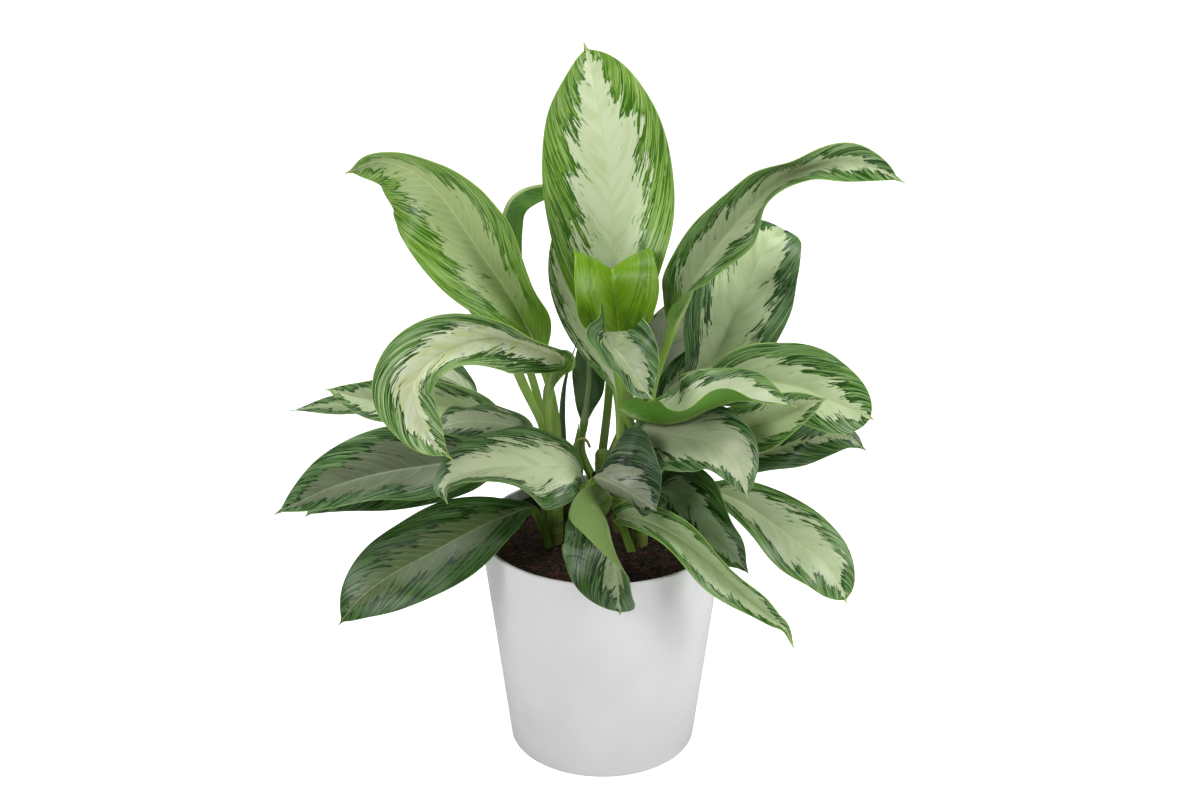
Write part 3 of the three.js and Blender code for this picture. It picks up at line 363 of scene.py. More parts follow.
def fibres():
    """Coir fibres: three-sided strands on short curved lines that lie over the soil.

    A strand starts at a random place, runs in a direction that turns evenly, and keeps just above
    the soil, a little higher in its middle.
    """
    rim = liner_inner(SOIL_EDGE) - 12 * MM
    angle = soil_random.uniform(0, 2 * np.pi, FIBRE_COUNT)
    radius = rim * np.sqrt(soil_random.uniform(0.02, 1, FIBRE_COUNT))
    heading = soil_random.uniform(0, 2 * np.pi, FIBRE_COUNT)[:, None]
    bend = soil_random.normal(0, 0.9, FIBRE_COUNT)[:, None]
    length = soil_random.uniform(5, 20, FIBRE_COUNT)[:, None] * MM
    along = np.linspace(0, 1, FIBRE_POINTS)
    direction = heading + bend * along
    step = length / (FIBRE_POINTS - 1)
    x = (radius * np.cos(angle))[:, None] + np.cumsum(np.cos(direction), 1) * step
    y = (radius * np.sin(angle))[:, None] + np.cumsum(np.sin(direction), 1) * step
    outside = np.maximum(1, np.hypot(x, y) / (rim + 10 * MM))
    x, y = x / outside, y / outside
    lift = (0.3 + soil_random.uniform(0, 1.6, FIBRE_COUNT)[:, None] * np.sin(np.pi * along)) * MM
    line = np.stack([x, y, soil_height(x, y) + lift], 2)
    across = np.stack([-np.sin(direction), np.cos(direction), np.zeros_like(direction)], 2)
    taper = FIBRE_RADIUS * (1 - 0.6 * np.abs(2 * along - 1) ** 3)
    corners = []
    for side in np.radians([90, 210, 330]):
        offset = across * np.cos(side) + np.array([0, 0, 1]) * np.sin(side)
        corners.append(line + offset * taper[None, :, None])
    points = np.stack(corners, 2)
    first = 3 * np.arange(FIBRE_POINTS - 1)[:, None]
    here = np.arange(3)
    beyond = (here + 1) % 3
    quads = np.stack([first + here, first + 3 + here, first + 3 + beyond, first + beyond], 2)
    quads = quads.reshape(-1, 4)
    last = 3 * (FIBRE_POINTS - 1)
    ends = [[0, 1, 2], [last + 2, last + 1, last]]
    base = 3 * FIBRE_POINTS * np.arange(FIBRE_COUNT)[:, None, None]
    walls = (quads[None] + base).reshape(-1, 4).tolist()
    caps = (np.array(ends)[None] + base).reshape(-1, 3).tolist()
    return points.reshape(-1, 3), walls + caps


add_piece("peat_crumbs", *crumbs(), "soil", peat, smooth=False)

coir, tree, shader = new_material("coir_fibre")
shade = speckle(tree, object_place(tree), 240.0, 2.0)
tint = mixed(tree, ramp(tree, shade, 0.35, 0.65), linear(COIR_DARK), linear(COIR_PALE))
coat(tree, shader, tint, ramp(tree, shade, 0.3, 0.7, 0.7, 0.85))
add_piece("coir_fibres", *fibres(), "soil", coir)


# How a leaf is made
# Each leaf is one piece: a channelled stalk that widens into a thin blade, folded a little along
# its raised midrib, with a waved margin and a drip tip. Its base clasps the cane it grew from.

BLADE_THICKNESS = 0.7
RIB_DEPTH = 1.6
RIB_TAPER = 0.65
STALK_RADIUS = 4
STALK_DEPTH = 1.5
STALK_SWELL = 0.25
STALK_FADE = 0.17
FOLD_START = 0.125
BLADE_END = 0.975
DRIP_TIP = 0.24
DRIP_LENGTH = 0.15
LEAST_HALF_WIDTH = 0.5
END_CROWDING = 0.35
TIP_START = 0.8
TIP_GROWTH = 10
SPAN_PIECES = 60
STALK_ROWS = 14
BLADE_ROWS = 84
HALF_COLUMNS = 18
ARC_STEPS = 4
MARGIN_CROWDING = 0.4
QUILT_SIZE = 0.3
QUILT_SPACING = 11
EASY_FOLD = [(25, 10), (20, 5), (10, -5)]
TO_VIEWER = [(0, -0.92, 0.4)]
LEAF_SHEEN = 0.36
STAIN_YELLOW = (196, 200, 104)
TONES = ("Silver", "Pale", "Mid", "Dark", "Rib", "Edge", "Stalk", "Under")


def smooth_values(values, share):
    """Values given at equal steps over 0 to 1, joined by a smooth cubic curve."""
    rows = np.array([np.atleast_1d(value) for value in values], float)
    last = len(rows) - 1
    if last == 0:
        return np.repeat(rows, len(share), 0)
    place = np.clip(share, 0, 1) * last
    first = np.minimum(place.astype(int), last - 1)
    f = (place - first)[:, None]
    p0, p1, p2, p3 = [rows[np.clip(first + k, 0, last)] for k in (-1, 0, 1, 2)]
    ease = f * f * (3 - 2 * f)
    slopes = (f**3 - 2 * f**2 + f) * (p2 - p0) / 2 + (f**3 - f**2) * (p3 - p1) / 2
    return p1 + ease * (p2 - p1) + slopes


def smooth_path(points):
    """A centripetal Catmull-Rom curve through points, with its length up to each point it has.

    Each span is a cubic. Its end slopes weigh its neighbours by the root of their distance.
    """
    p = np.array(points, float)
    p = np.vstack([2 * p[0] - p[1], p, 2 * p[-1] - p[-2]])
    p0, p1, p2, p3 = [p[k : len(p) - 3 + k, None] for k in range(4)]
    steps = (p1 - p0, p2 - p1, p3 - p2)
    d0, d1, d2 = [np.linalg.norm(step, axis=2, keepdims=True) ** 0.5 for step in steps]
    slope_in = d1 * ((p1 - p0) / d0 - (p2 - p0) / (d0 + d1) + (p2 - p1) / d1)
    slope_out = d1 * ((p2 - p1) / d1 - (p3 - p1) / (d1 + d2) + (p3 - p2) / d2)
    f = np.linspace(0, 1, SPAN_PIECES, endpoint=False)[None, :, None]
    spans = p1 + f * f * (3 - 2 * f) * (p2 - p1)
    spans = spans + (f**3 - 2 * f**2 + f) * slope_in + (f**3 - f**2) * slope_out
    line = np.vstack([spans.reshape(-1, 3), p[-2]])
    steps = np.linalg.norm(np.diff(line, axis=0), axis=1)
    return line, np.concatenate([[0], np.cumsum(steps)])


def unit(vectors):
    """Vectors made one long."""
    return vectors / np.linalg.norm(vectors, axis=-1, keepdims=True)


def smoothstep(value, low, high):
    """0 below low, 1 above high, eased between them."""
    share = np.clip((value - low) / (high - low), 0, 1)
    return share * share * (3 - 2 * share)


def leaf_sheet(path, blade, half, taper, left, right, face, turn, wave, curl):
    """The points of both faces of a leaf, and where each lies on it.

    A row stands at each place along the path. Its upper side looks along face, turned about the
    path. From the rib each half bends along an arc whose angle goes from the rib's to the margin's,
    and its width follows (s/m)^a ((1-s)/(1-m))^b. The margin waves as sin(2 pi (n t + phase)) q^2.
    """
    line, lengths = smooth_path(path)
    total = lengths[-1]
    blade_start = lengths[blade * SPAN_PIECES] / total
    even = np.linspace(0, 1, BLADE_ROWS + 1)
    eased = 0.5 - 0.5 * np.cos(np.pi * even)
    blade_rows = END_CROWDING * eased + (1 - END_CROWDING) * even
    stalk_rows = np.linspace(0, 1, STALK_ROWS, endpoint=False)
    u = np.concatenate([stalk_rows * blade_start, blade_start + (1 - blade_start) * blade_rows])
    t = (u - blade_start) / (1 - blade_start)
    on_blade = np.clip(t, 0, 1)
    centre = np.stack([np.interp(u * total, lengths, line[:, k]) for k in range(3)], 1)
    slopes = unit(np.gradient(line, axis=0))
    tangent = unit(np.stack([np.interp(u * total, lengths, slopes[:, k]) for k in range(3)], 1))

    facing = smooth_values(face, on_blade)
    normal = unit(facing - (facing * tangent).sum(1, keepdims=True) * tangent)
    side = np.cross(tangent, normal)
    roll = np.radians(smooth_values(turn, on_blade))
    normal = normal * np.cos(roll) + side * np.sin(roll)
    side = np.cross(tangent, normal)

    rib = STALK_RADIUS * np.where(t < 0, 1 - STALK_SWELL * t, 1 - RIB_TAPER * t)
    blade_depth = RIB_DEPTH * (1 - on_blade)
    stalk_share = np.clip(1 - t / STALK_FADE, 0, 1)
    depth_at_rib = blade_depth + (STALK_DEPTH * rib - blade_depth) * stalk_share
    a, b = taper
    widest = a / (a + b)
    s = np.clip(on_blade / BLADE_END, 1e-9, 1)
    body = (s / widest) ** a * ((1 - s) / (1 - widest)) ** b
    starts = np.clip((on_blade - TIP_START) * TIP_GROWTH, 0, 1)
    tip = DRIP_TIP * starts * (1 - on_blade) / DRIP_LENGTH
    width = np.hypot(half * np.maximum(body, tip), rib * (1 - on_blade))
    width = np.maximum(np.where(t <= 0, rib, width), LEAST_HALF_WIDTH)

    unfold = np.clip(1 + t / FOLD_START, 0, 1)[:, None]
    even = np.linspace(0, 1, HALF_COLUMNS + 1)
    share = even * (1 + MARGIN_CROWDING * (1 - even))
    size, waves, *phases = wave
    swell = size * np.sin(np.pi * on_blade) ** 0.7
    along = np.maximum(t, -1) * (1 - blade_start) * total
    upper, lower, across, vein = [], [], [], []
    for sign, angles, phase in ((-1, left, phases[0]), (1, right, phases[1])):
        at_rib, at_margin = np.radians(smooth_values(angles, on_blade) * unfold).T[:, :, None]
        steps = np.arange(HALF_COLUMNS * ARC_STEPS + 1) / ARC_STEPS
        fine = np.interp(steps, np.arange(HALF_COLUMNS + 1), share)
        middle = (fine[1:] + fine[:-1]) / 2
        angle = at_rib + (at_margin - at_rib) * middle**curl
        step = width[:, None] * np.diff(fine)
        out, up = [np.cumsum(turned(angle) * step, 1) for turned in (np.cos, np.sin)]
        zero = np.zeros((len(t), 1))
        last = slice(ARC_STEPS - 1, None, ARC_STEPS)
        out, up = [np.hstack([zero, values[:, last]])[:, :, None] for values in (out, up)]
        bend = (at_rib + (at_margin - at_rib) * share**curl)[:, :, None]
        bend[:, 0] = 0
        outward = normal[:, None] * np.cos(bend) - sign * side[:, None] * np.sin(bend)
        q = share[None]
        crossing = 0.7 * q + 1.1 * q**2 - 0.35 * np.log(1.04 - q) + 0.35 * np.log(1.04)
        vein_place = along[:, None] - width[:, None] * crossing
        waved = swell[:, None] * np.sin(2 * np.pi * (waves * on_blade[:, None] + phase)) * q**2
        calm = smoothstep(on_blade, 0.02, 0.2) * (1 - smoothstep(on_blade, 0.8, 0.97))
        quilt = np.cos(2 * np.pi * vein_place / QUILT_SPACING) * q * (1 - q) * 4
        quilt = QUILT_SIZE * quilt * calm[:, None]
        surface = centre[:, None] + sign * side[:, None] * out + normal[:, None] * up
        surface = surface + outward * (waved + quilt)[:, :, None]
        reach = np.minimum(1, width[:, None] * q / rib[:, None])
        depth = BLADE_THICKNESS + depth_at_rib[:, None] * np.sqrt(1 - reach**2)
        order = slice(None, 0, -1) if sign < 0 else slice(None)
        upper.append(surface[:, order])
        lower.append((surface - outward * depth[:, :, None])[:, order])
        across.append(np.broadcast_to(sign * q, depth.shape)[:, order])
        vein.append(vein_place[:, order])
    halves = (upper, lower, across, vein)
    upper, lower, across, vein = [np.concatenate(parts, 1) for parts in halves]
    places = np.stack([across, np.broadcast_to(t[:, None], across.shape), vein], 2)
    breadth = np.broadcast_to(width[:, None], across.shape)
    lengthwise = np.broadcast_to(along[:, None], across.shape)
    sizes = np.stack([across * breadth, (1 - np.abs(across)) * breadth, lengthwise], 2)
    return upper, lower, places, sizes


def sheet_faces(rows, columns):
    """Faces of a closed sheet of two grids of points: both faces first, then the rim round them."""
    i = np.arange(rows - 1)[:, None]
    j = np.arange(columns - 1)
    corner = i * columns + j
    top = np.stack([corner, corner + 1, corner + columns + 1, corner + columns], 2).reshape(-1, 4)
    under = top[:, ::-1] + rows * columns
    lower = rows * columns
    ahead = columns * np.arange(rows - 1)
    left = np.stack([ahead, ahead + columns, ahead + columns + lower, ahead + lower], 1)
    right = left[:, ::-1] + columns - 1
    start = np.stack([j, j + lower, j + lower + 1, j + 1], 1)
    end = start[:, ::-1] + (rows - 1) * columns
    return np.vstack([top, under]), np.vstack([left, right, start, end])


def leaf_colouring():
    """The shader group that colours a leaf from its places: silver middle, streaked green margin.

    It reads where a point lies between rib and margin, along the blade, and across the side veins.
    The silver ends where a cloudy noise drawn out along the veins crosses its reach, and the green
    beyond it is streaked the same way.
    """
    group = bpy.data.node_groups.new("leaf_colouring", "ShaderNodeTree")
    sockets = [(name, "INPUT", "Float") for name in ("Seed", "Reach", "Stain", "Bare")]
    sockets += [(name, "INPUT", "Color") for name in TONES]
    sockets += [("Color", "OUTPUT", "Color"), ("Roughness", "OUTPUT", "Float")]
    for name, way, kind in sockets + [("Height", "OUTPUT", "Float")]:
        group.interface.new_socket(name, in_out=way, socket_type=f"NodeSocket{kind}")
    given = group.nodes.new("NodeGroupInput").outputs
    result = group.nodes.new("NodeGroupOutput").inputs
    calc = functools.partial(maths, group)
    ease = functools.partial(ramp, group)
    blend = functools.partial(mixed, group)

    places = node(group, "ShaderNodeAttribute", attribute_name="leaf_place").outputs["Vector"]
    sizes = node(group, "ShaderNodeAttribute", attribute_name="leaf_size").outputs["Vector"]
    under = node(group, "ShaderNodeAttribute", attribute_name="leaf_under").outputs["Fac"]
    across, along, vein = node(group, "ShaderNodeSeparateXYZ", {0: places}).outputs
    off_rib, off_margin, length = node(group, "ShaderNodeSeparateXYZ", {0: sizes}).outputs
    out = calc("ABSOLUTE", across)
    half_seed = calc("MULTIPLY_ADD", calc("SIGN", across), 3.7, given["Seed"])

    def drawn_out(vein_size, length_size, shift, detail=2.0, roughness=0.5):
        """A noise of cells vein_size wide across the side veins and length_size long, in mm."""
        wide = calc("DIVIDE", vein, vein_size)
        long = calc("DIVIDE", length, length_size)
        seed = calc("ADD", half_seed, shift)
        vector = node(group, "ShaderNodeCombineXYZ", {0: wide, 1: long, 2: seed}).outputs[0]
        return speckle(group, vector, 1.0, detail, roughness)

    broad = calc("MULTIPLY_ADD", drawn_out(26, 45, 0.0, 1.0), 0.76, -0.38)
    fingers = calc("MULTIPLY_ADD", drawn_out(6.5, 26, 11.0, 2.5, 0.6), 0.7, -0.35)
    base_fade = ease(along, -0.02, 0.22, 0.3, 1.0)
    tip_fade = ease(along, 0.72, 0.99, 1.0, 0.35)
    reach = calc("MULTIPLY", given["Reach"], calc("MULTIPLY", base_fade, tip_fade))
    border = calc("ADD", reach, calc("ADD", broad, fingers))
    beyond = calc("SUBTRACT", out, border)
    green = ease(beyond, -0.012, 0.014)

    flecks = ease(drawn_out(4.5, 12, 23.0, 1.0), 0.635, 0.66)
    fleck_zone = ease(beyond, -0.26, -0.05)
    green = calc("MAXIMUM", green, calc("MULTIPLY", flecks, fleck_zone))
    holes = ease(drawn_out(4.5, 16, 37.0, 1.0), 0.61, 0.64)
    hole_zone = ease(beyond, 0.22, 0.04)
    unholed = calc("MULTIPLY_ADD", calc("MULTIPLY", holes, hole_zone), -1.0, 1.0)
    green = calc("MULTIPLY", green, unholed)

    near_border = ease(beyond, 0.24, 0.0, -0.03, 0.11)
    patches = calc("ADD", drawn_out(6, 38, 51.0, 3.0, 0.55), near_border)
    dark_share = ease(patches, 0.5, 0.55)
    fine_streak = ease(drawn_out(3.2, 60, 67.0, 3.0, 0.6), 0.44, 0.56, 0.0, 0.95)
    cloudy = ease(drawn_out(14, 50, 71.0, 2.0), 0.4, 0.65, 0.0, 0.6)
    soft = blend(fine_streak, given["Mid"], given["Pale"])
    soft = blend(cloudy, soft, given["Mid"])
    deep = blend(calc("MULTIPLY", fine_streak, 0.3), given["Dark"], given["Mid"])
    band = blend(dark_share, soft, deep)

    mottle = drawn_out(14, 36, 80.0, 4.0)
    silver = blend(ease(mottle, 0.4, 0.75, 0.0, 0.45), given["Silver"], given["Pale"])
    side_veins = calc("SINE", calc("MULTIPLY", vein, 2 * np.pi / QUILT_SPACING))
    vein_line = ease(side_veins, 0.72, 1.0, 0.0, 0.3)
    silver = blend(vein_line, silver, given["Rib"])
    stain = calc("MULTIPLY", given["Stain"], ease(drawn_out(16, 20, 95.0, 2.0), 0.48, 0.6))
    silver = blend(stain, silver, linear(STAIN_YELLOW))
    top = blend(green, silver, band)
    bare = ease(calc("SUBTRACT", given["Bare"], along), -0.07, 0.05, 0.0, 0.85)
    top = blend(bare, top, blend(fine_streak, given["Mid"], given["Stalk"]))
    rib_width = calc("MULTIPLY_ADD", along, -0.7, 1.3)
    rib_share = calc("DIVIDE", calc("ABSOLUTE", off_rib), rib_width)
    top = blend(ease(rib_share, 1.3, 0.6, 0.0, 0.6), top, given["Rib"])
    top = blend(ease(off_margin, 0.75, 0.35, 0.0, 0.85), top, given["Edge"])

    under_tint = blend(calc("MULTIPLY", green, 0.35), given["Under"], given["Mid"])
    under_tint = blend(calc("MULTIPLY", vein_line, 0.35), under_tint, given["Rib"])
    rib_under = ease(calc("ABSOLUTE", off_rib), 3.4, 1.2, 0.0, 0.5)
    under_tint = blend(rib_under, under_tint, given["Rib"])
    colour = blend(under, top, under_tint)
    on_stalk = ease(along, 0.05, -0.05)
    fibre = drawn_out(40, 60, 5.0, 3.0)
    stalk = blend(ease(fibre, 0.3, 0.7, 0.0, 0.4), given["Stalk"], given["Pale"])
    colour = blend(on_stalk, colour, stalk)
    group.links.new(colour, result["Color"])

    gloss = ease(mottle, 0.3, 0.7, 0.28, 0.38)
    group.links.new(calc("MULTIPLY_ADD", under, 0.12, gloss), result["Roughness"])
    groove = ease(calc("ABSOLUTE", off_rib), 0.0, 2.6)
    grain = drawn_out(1.6, 5, 110.0, 3.0, 0.6)
    height = calc("ADD", groove, calc("MULTIPLY", vein_line, -0.8))
    height = calc("ADD", height, calc("MULTIPLY", grain, 0.25))
    group.links.new(height, result["Height"])
    return group


colouring = leaf_colouring()


def leaf_finish(name, seed, values):
    """A waxy leaf surface coloured by the leaf group, with values and colours of its own, some of
    them painted lighter or darker as light and shade.
    """
    material, tree, shader = new_material(name)
    shader.inputs["Specular IOR Level"].default_value = LEAF_SHEEN
    made = tree.nodes.new("ShaderNodeGroup")
    made.node_tree = colouring
    made.inputs["Seed"].default_value = seed
    for key, value in values.items():
        made.inputs[key].default_value = linear(value) if key in TONES else value
    coat(tree, shader, *made.outputs, 0.5, 0.6 * MM)
    return material


leaf_count = 0


# A leaf's palette holds its own colours together with painted light or shade for where it stands in
# the plant.
def grow_leaf(
    name, tones_and_painted_light, path, half, taper=(0.62, 0.85), both=EASY_FOLD, left=None, right=None,
    face=TO_VIEWER, blade=2, turn=(0,), wave=(3, 2.2, 0, 0.5), curl=1,
    slot_name="leaf_variegated", **changes
):
    """Makes a leaf in place of its CAD node. Its path and widths are in millimetres.

    The blade starts at path point number blade and is 2 * half wide. both, or left and right, give
    the angles at the rib and at the margin by which each half bends up, in equal steps to the tip.
    """
    global leaf_count
    leaf_count += 1
    folds = (left or both, right or both)
    sheet = leaf_sheet(path, blade, half, taper, *folds, face, turn, wave, curl)
    upper, lower, places, sizes = sheet
    rows, columns = upper.shape[:2]
    faces, rim = sheet_faces(rows, columns)
    points = np.concatenate([upper, lower]).reshape(-1, 3) * MM
    values = {"Reach": 0.6, "Stain": 0.0, "Bare": -1.0, **dict(zip(TONES, tones_and_painted_light)), **changes}
    material = leaf_finish(f"{name}_surface", 10.0 * leaf_count, values)
    piece = add_piece(f"{name}_fine", points, faces.tolist() + rim.tolist(), slot_name, material)
    smooth = np.arange(len(faces) + len(rim)) < len(faces)
    piece.data.polygons.foreach_set("use_smooth", smooth)
    for key, values in (("leaf_place", places), ("leaf_size", sizes)):
        layer = piece.data.attributes.new(key, "FLOAT_VECTOR", "POINT")
        both_faces = np.concatenate([values, values]).astype(np.float32)
        layer.data.foreach_set("vector", both_faces.ravel())
    layer = piece.data.attributes.new("leaf_under", "FLOAT", "POINT")
    layer.data.foreach_set("value", np.repeat(np.float32([0, 1]), rows * columns))
    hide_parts(name)


# Canes
# Short upright green stems, one for each crown of leaves, ringed where old leaves came away. They
# are rooted in the soil, and the leaf stalks clasp them one above another.

CANE_RADIUS = 8 * MM
CANE_FOOT = 150 * MM
CANE_TIP = 9 * MM
CANE_RING = 0.7 * MM
CANE_RING_SPACING = 13 * MM
CANE_SEGMENTS = 40
CANE_ROWS = 120
CANE_FRESH = (122, 156, 62)
CANE_DARK = (92, 124, 44)
CANE_FIBRE = (140, 160, 84)
CANE_FOOT_BROWN = (92, 82, 46)
CANE_SCAR = (122, 104, 62)
CANE_PLACES = {
    "cane_left": (-48, -3, 300),
    "cane_left_rear": (-54, 32, 289),
    "cane_back_left": (-54, 76, 284),
    "cane_back": (0, 74, 294),
    "cane_middle": (18, 20, 329),
    "cane_front": (-8, -42, 276),
    "cane_right": (38, -10, 329),
    "cane_right_rear": (56, 48, 326),
    "cane_back_right": (46, 82, 298),
}


def stretched_up(tree, place, share):
    """A place whose height counts for a share of itself, so that a pattern is drawn out upwards."""
    inputs = {"Vector": place, "Scale": (1.0, 1.0, share)}
    return node(tree, "ShaderNodeMapping", inputs).outputs[0]


bark, tree, shader = new_material("ringed_green_cane")
place = object_place(tree)
fibre = speckle(tree, stretched_up(tree, place, 0.12), 700.0, 3.0)
patch = ramp(tree, speckle(tree, place, 60.0, 3.0), 0.45, 0.65)
height = node(tree, "ShaderNodeSeparateXYZ", {0: place}).outputs[2]
rings = maths(tree, "SINE", maths(tree, "MULTIPLY", height, 2 * np.pi / CANE_RING_SPACING))
scar = maths(tree, "MULTIPLY", ramp(tree, rings, 0.9, 1.0), 0.7)
green = mixed(tree, patch, linear(CANE_FRESH), linear(CANE_DARK))
green = mixed(tree, ramp(tree, fibre, 0.4, 0.7, 0.0, 0.5), green, linear(CANE_FIBRE))
green = mixed(tree, ramp(tree, height, 0.262, 0.228, 0.0, 0.6), green, linear(CANE_FOOT_BROWN))
green = mixed(tree, scar, green, linear(CANE_SCAR))
coat(tree, shader, green, ramp(tree, fibre, 0.3, 0.7, 0.4, 0.55), fibre, 0.4, 0.5 * MM)

for cane_name, (cane_x, cane_y, cane_top) in CANE_PLACES.items():
    shoulder = cane_top * MM - CANE_TIP
    heights = np.linspace(CANE_FOOT, shoulder, CANE_ROWS)
    rings = CANE_RING * np.maximum(0, np.sin(2 * np.pi * heights / CANE_RING_SPACING)) ** 12
    tip_angle = np.linspace(0, np.pi / 2, 9)[1:-1]
    tip = np.stack([CANE_RADIUS * np.cos(tip_angle), shoulder + CANE_TIP * np.sin(tip_angle)], 1)
    wall = np.stack([CANE_RADIUS + rings, heights], 1)
    cane_profile = np.vstack([(0, CANE_FOOT), wall, tip, (0, cane_top * MM)])
    cane_points, cane_faces = turned_surface(cane_profile, CANE_SEGMENTS)
    cane_points += np.array([cane_x * MM, cane_y * MM, 0])
    cane = add_piece(f"{cane_name}_ringed", cane_points, cane_faces, "cane_green", bark)
    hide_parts(cane_name)


# Leaves at the top of the plant
# The tallest leaf stands upright and faces the viewer, one more rises behind it, and a third nods
# forward on its arched stalk. A hidden one backs them.

# These palettes are copies of one leaf colouring at different brightness, picked per leaf for the
# light it gets. The sunlit one is painted light for the upper leaves, the two darkest are painted
# shade for leaves low down and inside the plant, and the other two lie between.
SUNLIT = (
    (206, 220, 176), (162, 192, 112), (100, 146, 30), (50, 100, 12),
    (206, 220, 156), (156, 190, 70), (128, 164, 50), (108, 150, 50),
)
COOL = (
    (178, 190, 152), (126, 152, 108), (62, 102, 42), (18, 50, 18),
    (180, 194, 150), (134, 162, 98), (118, 152, 54), (96, 134, 60),
)
FRESH = (
    (190, 206, 160), (146, 174, 118), (76, 122, 40), (26, 66, 14),
    (190, 204, 142), (156, 188, 88), (124, 160, 50), (106, 148, 56),
)
# Painted shade: a darker copy of the leaf colours, for leaves low down and inside the plant.
DEEP_PAINTED_SHADE = (
    (150, 164, 124), (96, 128, 76), (44, 82, 20), (12, 40, 6),
    (158, 176, 124), (112, 144, 66), (104, 138, 46), (90, 128, 52),
)
# Painted shade: a darker, greyer copy of the leaf colours, for leaves in shadow.
SHADED = (
    (142, 148, 126), (96, 114, 90), (46, 76, 40), (14, 38, 20),
    (152, 162, 128), (112, 138, 86), (112, 144, 54), (92, 128, 60),
)

grow_leaf(
    "leaf_top", SUNLIT, half=65, taper=(0.8, 0.6), Reach=0.52, Silver=(210, 222, 184),
    left=[(30, 20), (12, 5), (10, 0), (12, 4), (35, 30)],
    right=[(50, 40), (38, 30), (5, 0), (0, -5), (0, 0)],
    path=[
        (18, 20, 325), (21, 41, 366), (20, 45, 406), (14, 55, 467), (10, 60, 518), (7, 66, 568),
        (2, 71, 618), (-4, 76, 656), (-10, 80, 690), (-18, 82, 724),
    ],
)

grow_leaf(
    "leaf_behind_top", FRESH, half=45, taper=(0.9, 0.7), Reach=0.85, Silver=(180, 194, 152),
    both=[(20, 10), (15, 0), (10, 0)],
    path=[
        (18, 20, 300), (17, 50, 346), (14, 62, 365), (6, 80, 402), (-3, 92, 441), (-12, 104, 480),
        (-20, 116, 519), (-26, 126, 553),
    ],
)

grow_leaf(
    "leaf_nodding", COOL, half=41, blade=5, taper=(0.66, 0.85), turn=(-10, -25, -25, -10),
    Silver=(148, 160, 122), Reach=0.5, left=[(0, -10), (36, 26), (42, 34), (20, 0)],
    right=[(70, 75), (74, 76), (64, 60), (50, 47), (46, 43), (43, 40), (40, 36), (30, 18), (20, 0)],
    face=[
        (0, 0.4, 0.9), (0, -0.5, 0.85), (0, -0.8, 0.6), (0, -0.92, 0.4), (0, -0.92, 0.4),
        (0, -0.92, 0.4), (0, -0.92, 0.4),
    ],
    path=[
        (18, 20, 286), (18, 4, 308), (21, -13, 345), (19, -15, 400), (10, -11, 446), (3, -16, 461),
        (3, -34, 467), (9, -53, 461), (17, -68, 458), (28, -80, 446), (38, -90, 434),
        (48, -96, 424),
    ],
)

grow_leaf(
    "leaf_back_top", COOL, half=44, taper=(0.75, 0.7), Reach=0.5,
    face=[(0, -0.9, 0.5), (0, -0.8, 0.7)],
    path=[
        (0, 74, 290), (6, 84, 344), (9, 104, 403), (10, 130, 470), (10, 158, 531), (9, 186, 581),
        (8, 206, 609),
    ],
)


# Young leaf
# The newest leaf has not turned silver yet: it is a clear yellow-green, thin and glossy, and its
# tip folds back behind it. It stands in front of the tallest leaf.

YOUNG = (
    (104, 146, 18), (128, 164, 34), (100, 142, 18), (82, 124, 16),
    (142, 174, 60), (152, 188, 44), (124, 154, 44), (104, 146, 26),
)

grow_leaf(
    "leaf_young", YOUNG, half=48, blade=3, taper=(0.62, 0.5), wave=(0, 2, 0, 0),
    slot_name="leaf_young", left=[(35, 20), (45, 20), (45, 25), (40, 20)],
    right=[(35, 20), (45, 20), (32, 12), (25, 5)],
    face=[(0, -1, 0.1), (0, -1, 0.3), (0, -0.8, 1), (0, 0, 1)],
    path=[
        (18, 20, 312), (24, 3, 345), (18, 3, 407), (16, 11, 447), (13, 6, 481), (10, 7, 506),
        (9, 14, 515), (8, 24, 507), (9, 32, 496),
    ],
)


# Leaves high on the left
# A long blade leans out and rolls its tip over, a folded one behind it shows its plain underside,
# and a wide one arches forward and hangs.

grow_leaf(
    "leaf_left_high", SUNLIT, half=56, blade=3, taper=(0.78, 0.72), turn=(-5, -10, -22, -30, -30),
    Reach=0.5, Silver=(172, 192, 132), Bare=0.2,
    left=[(66, 60), (60, 56), (38, 30), (16, 10), (20, 10)],
    right=[(18, 10), (50, 46), (30, 24), (46, 42), (66, 70)],
    path=[
        (-48, -3, 296), (-46, 0, 348), (-52, -2, 393), (-61, -4, 429), (-79, -10, 474),
        (-97, -16, 511), (-115, -20, 541), (-132, -22, 570), (-145, -22, 591), (-163, -16, 611),
        (-185, -8, 625), (-215, 4, 629), (-248, 18, 612),
    ],
)

grow_leaf(
    "leaf_left_folded", SUNLIT, half=22, blade=3, taper=(0.7, 0.7), wave=(1, 2.2, 0, 0),
    Under=(70, 118, 40), both=[(60, 60), (78, 78), (84, 84), (60, 50), (20, 0)],
    face=[(0.8, 0.5, 0.1), (0.8, 0.5, 0), (0.6, 0.3, -0.8), (0, 0, -1)],
    path=[
        (-54, 32, 285), (-58, 34, 335), (-72, 38, 368), (-84, 40, 394), (-93, 42, 434),
        (-97, 44, 476), (-100, 48, 514), (-99, 52, 544), (-96, 56, 563), (-88, 62, 574),
        (-74, 72, 579), (-54, 84, 578), (-28, 96, 570), (-8, 104, 555),
    ],
)
